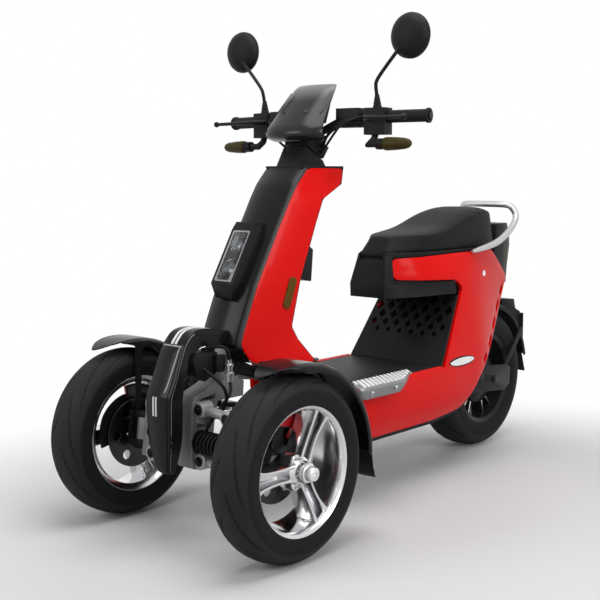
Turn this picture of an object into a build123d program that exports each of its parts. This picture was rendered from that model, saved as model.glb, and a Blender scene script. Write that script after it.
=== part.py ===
"""Tilting electric tricycle: two steered front wheels, one driven rear wheel.

Millimetres; +X forward, +Y left, +Z up; the origin is on the ground under the middle of the vehicle.
"""
import os
from math import cos, radians, sin

from build123d import *

os.makedirs("parts", exist_ok=True)

# Wheels
FRONT_AXLE_X = 673.5
WHEELBASE = 1292.0
REAR_AXLE_X = FRONT_AXLE_X - WHEELBASE
WHEEL_Y = 301.7
FRONT_TYRE_R = 229.5
REAR_TYRE_R = 236.5
FRONT_TYRE_W = 116.0
REAR_TYRE_W = 136.0
SIDEWALL = 77.5
REAR_SIDEWALL = 84.5
RIM_LIP = 11.4
RIM_WELL = 11.0
BEAD_R = FRONT_TYRE_R - SIDEWALL
REAR_BEAD_R = REAR_TYRE_R - REAR_SIDEWALL
AXLE_R = 12.0
HUB_CAP_Y = 388.5
GUARD_GAP = 32.5
REAR_GUARD_GAP = 25.5

# Fits
RUN_GAP = 0.1
SEAT_GAP = 0.3
CURVE_GAP = 0.3
LID_GAP = 0.5

# Steering geometry
RAKE = 27.5
CASTER = 8.0
COLUMN_X = 297.5
COLUMN_Z = 940.0
COLUMN_R = 15.0
HEAD_TUBE_R = 22.0
HEAD_TUBE_LOW = -600.0
HEAD_TUBE_TOP = 12.0
NECK_TOP = 58.0
NECK_LONG = 82.0
NECK_WIDE = 80.0
HEAD_GAP = 5.0
KING_X = 698.0
KING_Y = 200.0
KING_Z = 255.0
KING_PIN_R = 8.0
RELAY_X = 612.0
RELAY_Z = 342.0
STEER_ARM_BACK = 52.0
STEER_ARM_OUT = 16.0
ROD_PIN_R = 5.0

# Handlebar
BAR_R = 11.0
BAR_LOW = ((248, 0, 1046), (246, 40, 1048))
BAR_BEND = (212, 125, 1088)
BAR_END = (175, 362, 1088)

# Body levels
FLOOR_Z = 350.0
BELLY_Z = 184.0
SEAT_Z = 690.0
BUCKET_LOW = 562.0
TAIL_FRONT_X = -600.0
SHOCK_Y = 102.5
SHOCK_TOP = (-446.0, 536.0)
PANEL_T = 14.0

steer_plane = Plane(
    origin=(COLUMN_X, 0, COLUMN_Z),
    x_dir=(cos(radians(RAKE)), 0, sin(radians(RAKE))),
    z_dir=(-sin(radians(RAKE)), 0, cos(radians(RAKE))),
)
king_x_dir = (cos(radians(CASTER)), 0, sin(radians(CASTER)))
king_z_dir = (-sin(radians(CASTER)), 0, cos(radians(CASTER)))
king_plane = Plane(origin=(KING_X, KING_Y, KING_Z), x_dir=king_x_dir, z_dir=king_z_dir)
relay_plane = Plane(origin=(RELAY_X, 0, RELAY_Z), x_dir=king_x_dir, z_dir=king_z_dir)
front_axle = Axis((FRONT_AXLE_X, 0, FRONT_TYRE_R), (0, 1, 0))
rear_axle = Axis((REAR_AXLE_X, 0, REAR_TYRE_R), (0, 1, 0))
front_wheel_plane = Plane(
    origin=(FRONT_AXLE_X, WHEEL_Y, FRONT_TYRE_R), x_dir=(0, 1, 0), z_dir=(1, 0, 0)
)
rear_wheel_plane = Plane(
    origin=(REAR_AXLE_X, 0, REAR_TYRE_R), x_dir=(0, 1, 0), z_dir=(1, 0, 0)
)


def outline(plane, points):
    """Closed face of straight edges on a plane."""
    with BuildSketch(plane) as face:
        with BuildLine():
            Polyline(*points, close=True)
        make_face()
    return face.sketch


def side_plate(points, y_from, y_to, mode=Mode.ADD):
    """Solid of a side-view outline, given as (x, z), between two distances from the middle."""
    return extrude(outline(Plane.XZ.offset(-y_from), points), amount=-(y_to - y_from), mode=mode)


def front_cut(points, x_from, x_to):
    """Keep what lies inside a front-view outline given as (y, z)."""
    return extrude(outline(Plane.YZ.offset(x_from), points), amount=x_to - x_from, mode=Mode.INTERSECT)


def plan_cut(points, z_from, z_to):
    """Keep what lies inside a plan-view outline given as (x, y)."""
    return extrude(outline(Plane.XY.offset(z_from), points), amount=z_to - z_from, mode=Mode.INTERSECT)


def both_sides(half):
    """Mirror a half outline (u, v), walked from front to back, over u or v's middle line."""
    return [*half, *[(u, -v) for u, v in reversed(half)]]


def across(half):
    """Mirror a half outline (y, z) over the middle plane."""
    return [*half, *[(-y, z) for y, z in reversed(half)]]


def round_bar(radius, points, mode=Mode.ADD):
    """Round bar with mitred bends through points."""
    with BuildLine() as path:
        Polyline(*points)
    start = Vector(*points[0])
    with BuildSketch(Plane(origin=start, z_dir=Vector(*points[1]) - start)) as end:
        Circle(radius)
    return sweep(end.sketch, path=path.line, transition=Transition.RIGHT, mode=mode)


def turned(plane, axis, points, arc=360.0):
    """Solid turned about an axle from a (width, radius) outline."""
    return revolve(outline(plane, points), axis=axis, revolution_arc=arc)


def save(part, label):
    """Label a sub-part and write its file."""
    part.label = label
    export_step(part, f"parts/{label}.step")


# Front tyres and wheels
half_w = FRONT_TYRE_W / 2
front_tyre_half = [(-46, BEAD_R), (-half_w, FRONT_TYRE_R - 26), (-half_w / 2, FRONT_TYRE_R)]
front_tyre_section = [*front_tyre_half, *[(-w, r) for w, r in reversed(front_tyre_half)]]
with BuildPart() as tyre_front_left:
    turned(front_wheel_plane, front_axle, front_tyre_section)
save(tyre_front_left.part, "tyre_front_left")

with BuildPart() as tyre_front_right:
    mirror(tyre_front_left.part, about=Plane.XZ)
save(tyre_front_right.part, "tyre_front_right")

rim_section_half = [
    (-54, BEAD_R + RIM_LIP),
    (-49.8, BEAD_R + RIM_LIP),
    (-46.6, BEAD_R - CURVE_GAP),
]
rim_section = [
    *rim_section_half,
    *[(-w, r) for w, r in reversed(rim_section_half)],
    (44, BEAD_R - RIM_WELL),
    (-44, BEAD_R - RIM_WELL),
]
DISC_Y = 260.0
DISC_T = 4.0
DISC_ROOM = 46.0
DISC_R = BEAD_R - RIM_WELL - DISC_ROOM
DISC_HUB_R = 20.0
HUB_R = 36.0
hub_in = DISC_Y + DISC_T - WHEEL_Y
hub_out = HUB_CAP_Y - WHEEL_Y
hub_section = [
    (hub_in, 0),
    (hub_in, 30),
    (8, HUB_R),
    (38, HUB_R),
    (46, 25),
    (66, 23),
    (hub_out, 16),
    (hub_out, 0),
]
SPOKE_ANGLES = (0, 120, 240)
spoke_end = BEAD_R - RIM_WELL + 2.5
with BuildPart() as rim_front_left:
    turned(front_wheel_plane, front_axle, rim_section)
    turned(front_wheel_plane, front_axle, hub_section)
    for angle in SPOKE_ANGLES:
        spoke_plane = Plane(
            origin=(FRONT_AXLE_X, WHEEL_Y + 22, FRONT_TYRE_R),
            x_dir=(cos(radians(angle)), 0, sin(radians(angle))),
            z_dir=(0, 1, 0),
        )
        extrude(outline(spoke_plane, [(28, -24), (spoke_end, -16), (spoke_end, 16), (28, 24)]), amount=8)
        for side in (1, -1):
            blade = [(28, 26), (spoke_end, 20), (spoke_end, 8), (60, 9), (28, 14)]
            extrude(outline(spoke_plane, [(u, side * v) for u, v in blade]), amount=18)
    with Locations(Location((FRONT_AXLE_X, WHEEL_Y + hub_in, FRONT_TYRE_R), (-90, 0, 0))):
        Cylinder(
            AXLE_R + RUN_GAP,
            72 - hub_in,
            align=(Align.CENTER, Align.CENTER, Align.MIN),
            mode=Mode.SUBTRACT,
        )
save(rim_front_left.part, "rim_front_left")

with BuildPart() as rim_front_right:
    mirror(rim_front_left.part, about=Plane.XZ)
save(rim_front_right.part, "rim_front_right")

disc_hole_ring = (DISC_R + DISC_HUB_R + 17) / 2
disc_hole_r = (DISC_R - DISC_HUB_R - 17) * 0.224
with BuildPart() as brake_disc_left:
    with Locations(Location((FRONT_AXLE_X, DISC_Y, FRONT_TYRE_R), (-90, 0, 0))):
        Cylinder(DISC_R, DISC_T, align=(Align.CENTER, Align.CENTER, Align.MIN))
        Cylinder(DISC_HUB_R, DISC_T, align=(Align.CENTER, Align.CENTER, Align.MIN), mode=Mode.SUBTRACT)
        with PolarLocations(disc_hole_ring, 6):
            Cylinder(disc_hole_r, DISC_T, align=(Align.CENTER, Align.CENTER, Align.MIN), mode=Mode.SUBTRACT)
save(brake_disc_left.part, "brake_disc_left")

with BuildPart() as brake_disc_right:
    mirror(brake_disc_left.part, about=Plane.XZ)
save(brake_disc_right.part, "brake_disc_right")

# Steering knuckles, carried by king pins in the uprights
axle_dx = FRONT_AXLE_X - KING_X
axle_dz = FRONT_TYRE_R - KING_Z
axle_local_x = axle_dx * cos(radians(CASTER)) + axle_dz * sin(radians(CASTER))
axle_local_z = axle_dz * cos(radians(CASTER)) - axle_dx * sin(radians(CASTER))
BOSS_R = 16.0
BOSS_HALF = 30.0
LUG_T = 14.0
WEB_Y = 226.0
WEB_T = 7.7
web_in = WEB_Y - KING_Y
web_face_y = WEB_Y + WEB_T
lug_low = BOSS_HALF + SEAT_GAP
lug_top = lug_low + LUG_T
AXLE_END_Y = 368.0
with BuildPart(king_plane) as knuckle_left:
    for level in (lug_low, -lug_top):
        with BuildSketch(king_plane.offset(level)):
            Circle(BOSS_R)
            with Locations((0, web_in / 2)):
                Rectangle(2 * BOSS_R, web_in)
        extrude(amount=LUG_T)
    with BuildSketch(king_plane.offset(lug_low)):
        with BuildLine():
            Polyline((0, -12), (-52, 3), (-65, 10), (-62, 26), (-20, web_in + 3), (0, web_in), close=True)
        make_face()
    extrude(amount=LUG_T)
    Cylinder(KING_PIN_R, 2 * lug_top)
    web_plane = Plane(origin=(KING_X, WEB_Y, KING_Z), x_dir=king_x_dir, z_dir=(0, -1, 0))
    web = [(24, lug_top), (24, -lug_top), (-10, -62), (-50, -58), (-62, -20), (-98, 14), (-90, 38), (-40, 38)]
    extrude(outline(web_plane, web), amount=-WEB_T)
with BuildPart() as knuckle_axle:
    with Locations(Location((FRONT_AXLE_X, WEB_Y + 1, FRONT_TYRE_R), (-90, 0, 0))):
        Cylinder(20, WEB_T + 8, align=(Align.CENTER, Align.CENTER, Align.MIN))
        Cylinder(AXLE_R, AXLE_END_Y - WEB_Y - 1, align=(Align.CENTER, Align.CENTER, Align.MIN))
rod_eye = king_plane.from_local_coords(Vector(-STEER_ARM_BACK, STEER_ARM_OUT, lug_top))
EYE_H = 12.0
with BuildPart() as knuckle_pin:
    with BuildSketch(Plane(origin=rod_eye, x_dir=king_x_dir, z_dir=king_z_dir).offset(-4)):
        Circle(ROD_PIN_R)
    extrude(amount=EYE_H + 6)
with BuildPart() as knuckle_left_whole:
    add(knuckle_left.part)
    add(knuckle_axle.part)
    add(knuckle_pin.part)
save(knuckle_left_whole.part, "knuckle_left")

with BuildPart() as knuckle_right:
    mirror(knuckle_left_whole.part, about=Plane.XZ)
save(knuckle_right.part, "knuckle_right")

# Brake calipers straddle the discs above and behind the axle
CALIPER_ANGLE = 140.0
CALIPER_GAP = 3.0
caliper_dir = (cos(radians(CALIPER_ANGLE)), 0, sin(radians(CALIPER_ANGLE)))
caliper_plane = Plane(
    origin=(FRONT_AXLE_X, web_face_y, FRONT_TYRE_R), x_dir=caliper_dir, z_dir=(0, 1, 0)
)
caliper_depth = 282.0 - web_face_y
slot_from = DISC_Y - CALIPER_GAP - web_face_y
slot_deep = DISC_T + 2 * CALIPER_GAP
with BuildPart() as caliper_left:
    body = [(62, -36), (104, -40), (112, -22), (112, 22), (104, 40), (62, 36)]
    extrude(outline(caliper_plane, body), amount=caliper_depth)
    with BuildSketch(caliper_plane.offset(slot_from)):
        Circle(DISC_R + CALIPER_GAP)
    extrude(amount=slot_deep, mode=Mode.SUBTRACT)
save(caliper_left.part, "caliper_left")

with BuildPart() as caliper_right:
    mirror(caliper_left.part, about=Plane.XZ)
save(caliper_right.part, "caliper_right")

# Front mudguards turn with the knuckles
GUARD_R = FRONT_TYRE_R + GUARD_GAP
GUARD_T = 3.0
GUARD_HALF = 64.0
GUARD_SKIRT = 24.0
GUARD_FRONT = 66.0
GUARD_REAR = 180.0
guard_section = [
    (-GUARD_HALF, GUARD_R - GUARD_SKIRT),
    (-GUARD_HALF, GUARD_R - 9),
    (-GUARD_HALF + 16, GUARD_R),
    (GUARD_HALF - 16, GUARD_R),
    (GUARD_HALF, GUARD_R - 9),
    (GUARD_HALF, GUARD_R - GUARD_SKIRT),
    (GUARD_HALF - GUARD_T, GUARD_R - GUARD_SKIRT),
    (GUARD_HALF - GUARD_T, GUARD_R - 9 - GUARD_T / 2),
    (GUARD_HALF - 16, GUARD_R - GUARD_T),
    (-GUARD_HALF + 16, GUARD_R - GUARD_T),
    (-GUARD_HALF + GUARD_T, GUARD_R - 9 - GUARD_T / 2),
    (-GUARD_HALF + GUARD_T, GUARD_R - GUARD_SKIRT),
]
guard_start = Plane(
    origin=(FRONT_AXLE_X, WHEEL_Y, FRONT_TYRE_R),
    x_dir=(0, 1, 0),
    z_dir=(sin(radians(GUARD_FRONT)), 0, -cos(radians(GUARD_FRONT))),
)
guard_foot_x = FRONT_AXLE_X - GUARD_R
flap_low = FRONT_TYRE_R - 79.5
beak_x = FRONT_AXLE_X + GUARD_R * cos(radians(GUARD_FRONT)) + 6
STAY = (
    # forward of the axle, up from it
    (-9.5, 32.5),
    (34.5, 32.5),
    (30.5, 100),
    (26.5, GUARD_R - 21.5),
    (38.5, GUARD_R - 5.5),
    (-33.5, GUARD_R - 7.5),
    (-45.5, GUARD_R - 17.5),
    (-9.5, GUARD_R - 29.5),
    (-5.5, 100),
)
with BuildPart() as front_mudguard_left:
    turned(guard_start, Axis(front_axle.position, (0, -1, 0)), guard_section, GUARD_REAR - GUARD_FRONT)
    side_plate(
        [
            (guard_foot_x, FRONT_TYRE_R + 6),
            (guard_foot_x + GUARD_T, FRONT_TYRE_R + 6),
            (guard_foot_x - 22, flap_low + 10),
            (guard_foot_x - 32, flap_low),
            (guard_foot_x - 36, flap_low + 6),
        ],
        WHEEL_Y - 44,
        WHEEL_Y + 44,
    )
    side_plate(
        [(FRONT_AXLE_X + forward, FRONT_TYRE_R + up) for forward, up in STAY],
        web_face_y,
        WHEEL_Y - GUARD_HALF + 0.6,
    )
    with BuildSketch(Plane.XY.offset(FRONT_TYRE_R + 150)):
        for side in (1, -1):
            with BuildLine():
                Polyline(
                    (beak_x, WHEEL_Y + side * 8),
                    (beak_x - 62, WHEEL_Y + side * 80),
                    (beak_x + 8, WHEEL_Y + side * 80),
                    close=True,
                )
            make_face()
    extrude(amount=GUARD_R - 120, mode=Mode.SUBTRACT)
save(front_mudguard_left.part, "front_mudguard_left")

with BuildPart() as front_mudguard_right:
    mirror(front_mudguard_left.part, about=Plane.XZ)
save(front_mudguard_right.part, "front_mudguard_right")

# Front carrier and the tilting arms
CARRIER_HALF = 30.0
RELAY_PIN_R = 9.0
RELAY_PIN_H = 40.0
seat_rear = steer_plane.from_local_coords(Vector(-34, 0, HEAD_TUBE_LOW))
seat_front = steer_plane.from_local_coords(Vector(34, 0, HEAD_TUBE_LOW))
CARRIER_UNDER = 352.0
CARRIER_WINDOWS = (
    # x, z round the window between the arms and the one above them
    ((664, 324), (720, 324), (718, 294), (668, 290)),
    ((650, 372), (700, 366), (706, 358), (652, 358)),
)
with BuildPart() as front_carrier:
    side_plate(
        [
            (seat_rear.X, seat_rear.Z),
            (seat_front.X, seat_front.Z),
            (664, 394),
            (722, 374),
            (734, 352),
            (736, 216),
            (728, 188),
            (700, 182),
            (668, 196),
            (654, 300),
            (642, CARRIER_UNDER),
            (548, CARRIER_UNDER),
        ],
        -CARRIER_HALF,
        CARRIER_HALF,
    )
    for window in CARRIER_WINDOWS:
        side_plate(window, -CARRIER_HALF, CARRIER_HALF, mode=Mode.SUBTRACT)
    with BuildSketch(relay_plane):
        Circle(RELAY_PIN_R + RUN_GAP)
    extrude(amount=RELAY_PIN_H + 1, mode=Mode.SUBTRACT)
    with BuildSketch(steer_plane.offset(HEAD_TUBE_LOW - 10)):
        Circle(COLUMN_R + 3)
    extrude(amount=12, mode=Mode.SUBTRACT)
save(front_carrier.part, "front_carrier")

UPRIGHT_IN = KING_Y - 45
UPRIGHT_OUT = KING_Y - 22
with BuildPart(king_plane) as upright_left:
    with Locations((0, (UPRIGHT_IN + UPRIGHT_OUT) / 2 - KING_Y, 15)):
        Box(34, UPRIGHT_OUT - UPRIGHT_IN, 166)
    with Locations((0, -14, 0)):
        Box(18, 24, 2 * BOSS_HALF)
    Cylinder(BOSS_R, 2 * BOSS_HALF)
    Cylinder(KING_PIN_R + RUN_GAP, 2 * BOSS_HALF, mode=Mode.SUBTRACT)
with BuildPart() as uprights:
    add(upright_left.part)
    mirror(upright_left.part, about=Plane.XZ)
save(uprights.part, "uprights")

UPPER_ARM = ((CARRIER_HALF, 356), (CARRIER_HALF, 330), (UPRIGHT_IN, 322), (UPRIGHT_IN, 344))
LOWER_ARM = ((CARRIER_HALF, 224), (CARRIER_HALF, 196), (UPRIGHT_IN, 190), (UPRIGHT_IN, 212))
with BuildPart() as tilt_arms:
    extrude(outline(Plane.YZ.offset(686), UPPER_ARM), amount=34)
    extrude(outline(Plane.YZ.offset(690), LOWER_ARM), amount=38)
    mirror(about=Plane.XZ)
save(tilt_arms.part, "tilt_arms")

DAMPER_X = 706.0
DAMPER_Z = 256.0
SPRING_SEAT_R = 31.0
with BuildPart() as tilt_damper:
    with Locations(Location((DAMPER_X, CARRIER_HALF, DAMPER_Z), (-90, 0, 0))):
        Cylinder(14, UPRIGHT_IN - CARRIER_HALF, align=(Align.CENTER, Align.CENTER, Align.MIN))
        Cylinder(SPRING_SEAT_R, 6, align=(Align.CENTER, Align.CENTER, Align.MIN))
    with Locations(Location((DAMPER_X, UPRIGHT_IN - 30, DAMPER_Z), (-90, 0, 0))):
        Cylinder(SPRING_SEAT_R, 6, align=(Align.CENTER, Align.CENTER, Align.MIN))
    with Locations(Location((DAMPER_X, -CARRIER_HALF, DAMPER_Z), (90, 0, 0))):
        Cylinder(20, UPRIGHT_IN - CARRIER_HALF, align=(Align.CENTER, Align.CENTER, Align.MIN))
save(tilt_damper.part, "tilt_damper")

SPRING_R = 26.5
COIL_R = 4.5
SPRING_TURNS = 6
spring_from = CARRIER_HALF + 6
spring_long = UPRIGHT_IN - 30 - spring_from
coil_pitch = spring_long / SPRING_TURNS
with BuildPart() as tilt_spring:
    spring_plane = Plane(origin=(DAMPER_X, 0, DAMPER_Z), x_dir=(0, 1, 0), z_dir=(1, 0, 0))
    spring_section = []
    for turn in range(SPRING_TURNS):
        start = spring_from + turn * coil_pitch
        spring_section += [
            (start, SPRING_R - 3),
            (start + coil_pitch * 0.5, SPRING_R + COIL_R),
        ]
    end = spring_from + spring_long
    turned(
        spring_plane,
        Axis((DAMPER_X, 0, DAMPER_Z), (0, 1, 0)),
        [*spring_section, (end, SPRING_R - 3), (end, SPRING_R - 7), (spring_from, SPRING_R - 7)],
    )
save(tilt_spring.part, "tilt_spring")

# Steering column, relay and tie rods
COLUMN_LOW = -606.0
COLUMN_HEAD = NECK_TOP + HEAD_GAP
with BuildPart(steer_plane) as steering_column:
    with Locations((0, 0, COLUMN_LOW)):
        Cylinder(COLUMN_R, 130 - COLUMN_LOW, align=(Align.CENTER, Align.CENTER, Align.MIN))
    with BuildSketch(steer_plane.offset(COLUMN_HEAD)):
        Rectangle(NECK_LONG, NECK_WIDE)
    with BuildSketch(steer_plane.offset(98)):
        Rectangle(NECK_LONG, NECK_WIDE + 14)
    loft(ruled=True)
    with Locations((0, 0, 110)):
        Box(52, 74, 30)
    round_bar(BAR_R, [(x, -y, z) for x, y, z in BAR_LOW[1:]] + list(BAR_LOW), mode=Mode.SUBTRACT)
save(steering_column.part, "steering_column")

RELAY_ARM_T = 12.0
relay_low = -RELAY_ARM_T - 1.0
with BuildPart(relay_plane) as steering_relay:
    Cylinder(RELAY_PIN_R, RELAY_PIN_H, align=(Align.CENTER, Align.CENTER, Align.MIN))
    with BuildSketch(relay_plane.offset(relay_low)):
        Circle(16)
        with BuildLine():
            Polyline(
                (10, -15),
                (-STEER_ARM_BACK, -STEER_ARM_OUT - 12),
                (-STEER_ARM_BACK - 12, -STEER_ARM_OUT),
                (-STEER_ARM_BACK - 12, STEER_ARM_OUT),
                (-STEER_ARM_BACK, STEER_ARM_OUT + 12),
                (10, 15),
                close=True,
            )
        make_face()
    extrude(amount=RELAY_ARM_T)
    with Locations((0, 0, relay_low + RELAY_ARM_T - 1)):
        Cylinder(RELAY_PIN_R, 4, align=(Align.CENTER, Align.CENTER, Align.MIN))
    for side in (1, -1):
        with Locations((-STEER_ARM_BACK, side * STEER_ARM_OUT, relay_low + 0.5)):
            Cylinder(ROD_PIN_R, EYE_H + 2.5, align=(Align.CENTER, Align.CENTER, Align.MAX))
save(steering_relay.part, "steering_relay")

relay_eye = relay_plane.from_local_coords(Vector(-STEER_ARM_BACK, STEER_ARM_OUT, relay_low))
ROD_R = 6.0
with BuildPart() as tie_rod_left:
    inner = Plane(origin=relay_eye, x_dir=king_x_dir, z_dir=king_z_dir).offset(-SEAT_GAP)
    outer = Plane(origin=rod_eye, x_dir=king_x_dir, z_dir=king_z_dir).offset(SEAT_GAP)
    with BuildSketch(inner):
        Circle(11)
    extrude(amount=-EYE_H)
    with BuildSketch(outer):
        Circle(11)
    extrude(amount=EYE_H)
    mid_in = inner.offset(-EYE_H / 2).origin
    mid_out = outer.offset(EYE_H / 2).origin
    run = (mid_out - mid_in).normalized()
    round_bar(ROD_R, [tuple(mid_in + run * 8), tuple(mid_out - run * 8)])
    with BuildSketch(inner):
        Circle(ROD_PIN_R + RUN_GAP)
    extrude(amount=-EYE_H, mode=Mode.SUBTRACT)
    with BuildSketch(outer):
        Circle(ROD_PIN_R + RUN_GAP)
    extrude(amount=EYE_H, mode=Mode.SUBTRACT)
save(tie_rod_left.part, "tie_rod_left")

with BuildPart() as tie_rod_right:
    mirror(tie_rod_left.part, about=Plane.XZ)
save(tie_rod_right.part, "tie_rod_right")

# Leg shield: front face, two side faces and the rider's face, walls of one hollow strut
SHIELD_T = 5.0
SHIELD_FRONT_T = 10.0
SHIELD = (
    # z, front x, rear x, front half width, rear half width
    (430, 575, 362, 78, 126),
    (495, 612, 412, 66, 104),
    (530, 600, 432, 66, 100),
    (647, 549, 399, 66, 100),
    (805, 458, 332, 66, 100),
    (867, 421, 303, 67, 100),
    (907, 394, 222, 68, 98),
    (950, 352, 212, 68, 96),
)


def shield_width(row, x):
    """Half width of the strut at x on one level."""
    z, front, rear, half_front, half_rear = row
    return half_front + (half_rear - half_front) * (front - x) / (front - rear)


def shield_wall(corners):
    """Ruled solid through one four-corner section for each level."""
    return loft([outline(Plane.XY.offset(row[0]), corners(row)) for row in SHIELD], ruled=True)


with BuildPart() as leg_shield_front:
    shield_wall(
        lambda row: both_sides(
            [
                (row[1], row[3]),
                (row[1] - SHIELD_FRONT_T, shield_width(row, row[1] - SHIELD_FRONT_T)),
            ]
        )
    )
    with BuildSketch(steer_plane):
        Circle(HEAD_TUBE_R + SEAT_GAP)
    extrude(amount=700, both=True, mode=Mode.SUBTRACT)
save(leg_shield_front.part, "leg_shield_front")

with BuildPart() as leg_shield_left:
    shield_wall(
        lambda row: [
            (row[1] - SHIELD_FRONT_T, shield_width(row, row[1] - SHIELD_FRONT_T)),
            (row[2] + SHIELD_T, shield_width(row, row[2] + SHIELD_T)),
            (row[2] + SHIELD_T, shield_width(row, row[2] + SHIELD_T) - SHIELD_T),
            (row[1] - SHIELD_FRONT_T, shield_width(row, row[1] - SHIELD_FRONT_T) - SHIELD_T),
        ]
    )
save(leg_shield_left.part, "leg_shield_left")

with BuildPart() as leg_shield_right:
    mirror(leg_shield_left.part, about=Plane.XZ)
save(leg_shield_right.part, "leg_shield_right")

top = SHIELD[-1]
COLLAR_T = 6.0
with BuildPart() as leg_shield_inner:
    shield_wall(
        lambda row: both_sides(
            [
                (row[2] + SHIELD_T, shield_width(row, row[2] + SHIELD_T)),
                (row[2], row[4]),
            ]
        )
    )
    collar = both_sides([(top[1], top[3]), (top[2], top[4])])
    extrude(outline(Plane.XY.offset(top[0]), collar), amount=COLLAR_T)
    neck_foot = both_sides([(top[1] - 8, 36), (top[2] + 10, 40)])
    neck_head = both_sides([(NECK_LONG / 2, NECK_WIDE / 2), (-NECK_LONG / 2, NECK_WIDE / 2)])
    loft(
        [
            outline(Plane.XY.offset(top[0] + COLLAR_T - 1), neck_foot),
            outline(steer_plane.offset(NECK_TOP), neck_head),
        ],
        ruled=True,
    )
    with BuildSketch(steer_plane):
        Circle(HEAD_TUBE_R + 0.2)
    extrude(amount=100, both=True, mode=Mode.SUBTRACT)
save(leg_shield_inner.part, "leg_shield_inner")

# Headlamp on the front face
lamp_low = Vector(596, 0, 650)
lamp_high = Vector(513, 0, 792)
lamp_up = (lamp_high - lamp_low).normalized()
lamp_out = Vector(lamp_up.Z, 0, -lamp_up.X)
lamp_long = (lamp_high - lamp_low).length
lamp_plane = Plane(origin=(lamp_low + lamp_high) * 0.5, x_dir=(0, 1, 0), z_dir=lamp_out)
LAMP_W = 62.0
LAMP_DEEP = 16.0
with BuildPart() as headlamp_housing:
    side_plate(
        [
            (458, 805),
            (lamp_high.X - 8, 808),
            (lamp_high.X, lamp_high.Z),
            (lamp_low.X, lamp_low.Z),
            (588, 612),
            (566, 608),
            (549, 647),
        ],
        -40,
        40,
    )
    front_cut(across([(28, 600), (42, 660), (40, 790), (32, 812)]), 440, 620)
    with BuildSketch(lamp_plane):
        Rectangle(LAMP_W, lamp_long - 14)
    extrude(amount=-LAMP_DEEP, mode=Mode.SUBTRACT)
    for along in (34, -30):
        with BuildSketch(lamp_plane.offset(-LAMP_DEEP)):
            with Locations((0, along)):
                Circle(23)
                Circle(18, mode=Mode.SUBTRACT)
        extrude(amount=10)
save(headlamp_housing.part, "headlamp_housing")

with BuildPart() as headlamp_lens:
    with BuildSketch(lamp_plane.offset(-4.0)):
        Rectangle(LAMP_W - 0.4, lamp_long - 14.4)
    extrude(amount=3)
save(headlamp_lens.part, "headlamp_lens")

# Nose cover in front of the carrier
NOSE = (
    # outer face down from the leg shield, then the inner face up again: x, z
    (600, 530),
    (700, 546),
    (736, 540),
    (768, 506),
    (808, 412),
    (821, 388),
    (819, 270),
    (806, 188),
    (784, 186),
    (773, 300),
    (773, 392),
    (746, 474),
    (704, 500),
    (612 - 12 * 5 / 35, 500),
)
NOSE_HALF = ((22, 180), (40, 270), (44.5, 400), (40, 500), (36, 550))
with BuildPart() as nose_cover:
    side_plate(NOSE, -46, 46)
    front_cut(across(NOSE_HALF), 580, 840)
save(nose_cover.part, "nose_cover")

# Floor, belly and the load under it
FLOOR_HALF = 165.5
with BuildPart() as floor_board:
    side_plate(
        [
            (404, 430),
            (362, 430),
            (300, 384),
            (230, 358),
            (140, FLOOR_Z),
            (-166, FLOOR_Z),
            (-180, FLOOR_Z - 25),
            (190, FLOOR_Z - 25),
            (290, 352),
            (404, 416),
        ],
        -FLOOR_HALF,
        FLOOR_HALF,
    )
    plan_cut(
        both_sides([(410, 84), (362, 118), (200, FLOOR_HALF), (-200, FLOOR_HALF)]), 300, 450
    )
save(floor_board.part, "floor_board")

RAIL_Y = 60.0
RAIL_R = 12.0
rail_z = FLOOR_Z - 25 - RAIL_R - 0.3
rail_end_z = BUCKET_LOW - RAIL_R - 0.2
gusset_low = steer_plane.from_local_coords(Vector(0, 0, HEAD_TUBE_LOW + 10))
gusset_top = steer_plane.from_local_coords(Vector(0, 0, HEAD_TUBE_LOW + 46))
with BuildPart() as main_frame:
    round_bar(
        RAIL_R,
        [
            (470, RAIL_Y, 398),
            (290, RAIL_Y, 332),
            (200, RAIL_Y, rail_z),
            (-330, RAIL_Y, rail_z),
            (-430, RAIL_Y, rail_end_z),
            (-464, RAIL_Y, rail_end_z),
            (TAIL_FRONT_X + 2, RAIL_Y, rail_end_z + 22),
        ],
    )
    round_bar(10, [(SHOCK_TOP[0], 0, SHOCK_TOP[1]), (SHOCK_TOP[0], SHOCK_Y - 8.2, SHOCK_TOP[1])])
    mirror(about=Plane.XZ)
    with Locations((-318, 0, rail_z)):
        Box(30, 2 * RAIL_Y, 20)
    with Locations((466, 0, 400)):
        Box(30, 2 * RAIL_Y + 4, 24)
    side_plate(
        [(470, 410), (470, 392), (gusset_low.X, gusset_low.Z), (gusset_top.X, gusset_top.Z)], -18, 18
    )
    with BuildSketch(steer_plane.offset(HEAD_TUBE_LOW)):
        Circle(HEAD_TUBE_R)
    extrude(amount=HEAD_TUBE_TOP - HEAD_TUBE_LOW)
    with BuildSketch(steer_plane.offset(HEAD_TUBE_LOW)):
        Circle(COLUMN_R + RUN_GAP)
    extrude(amount=HEAD_TUBE_TOP - HEAD_TUBE_LOW, mode=Mode.SUBTRACT)
save(main_frame.part, "main_frame")

BATTERY_TOP = rail_z - RAIL_R - 0.2
with BuildPart() as belly_pan:
    with Locations((55, 0, BELLY_Z + 5)):
        Box(330, 304, 10)
save(belly_pan.part, "belly_pan")

with BuildPart() as battery_pack:
    with Locations((20, 0, (BELLY_Z + 10 + BATTERY_TOP) / 2)):
        Box(250, 210, BATTERY_TOP - BELLY_Z - 10)
save(battery_pack.part, "battery_pack")

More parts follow.
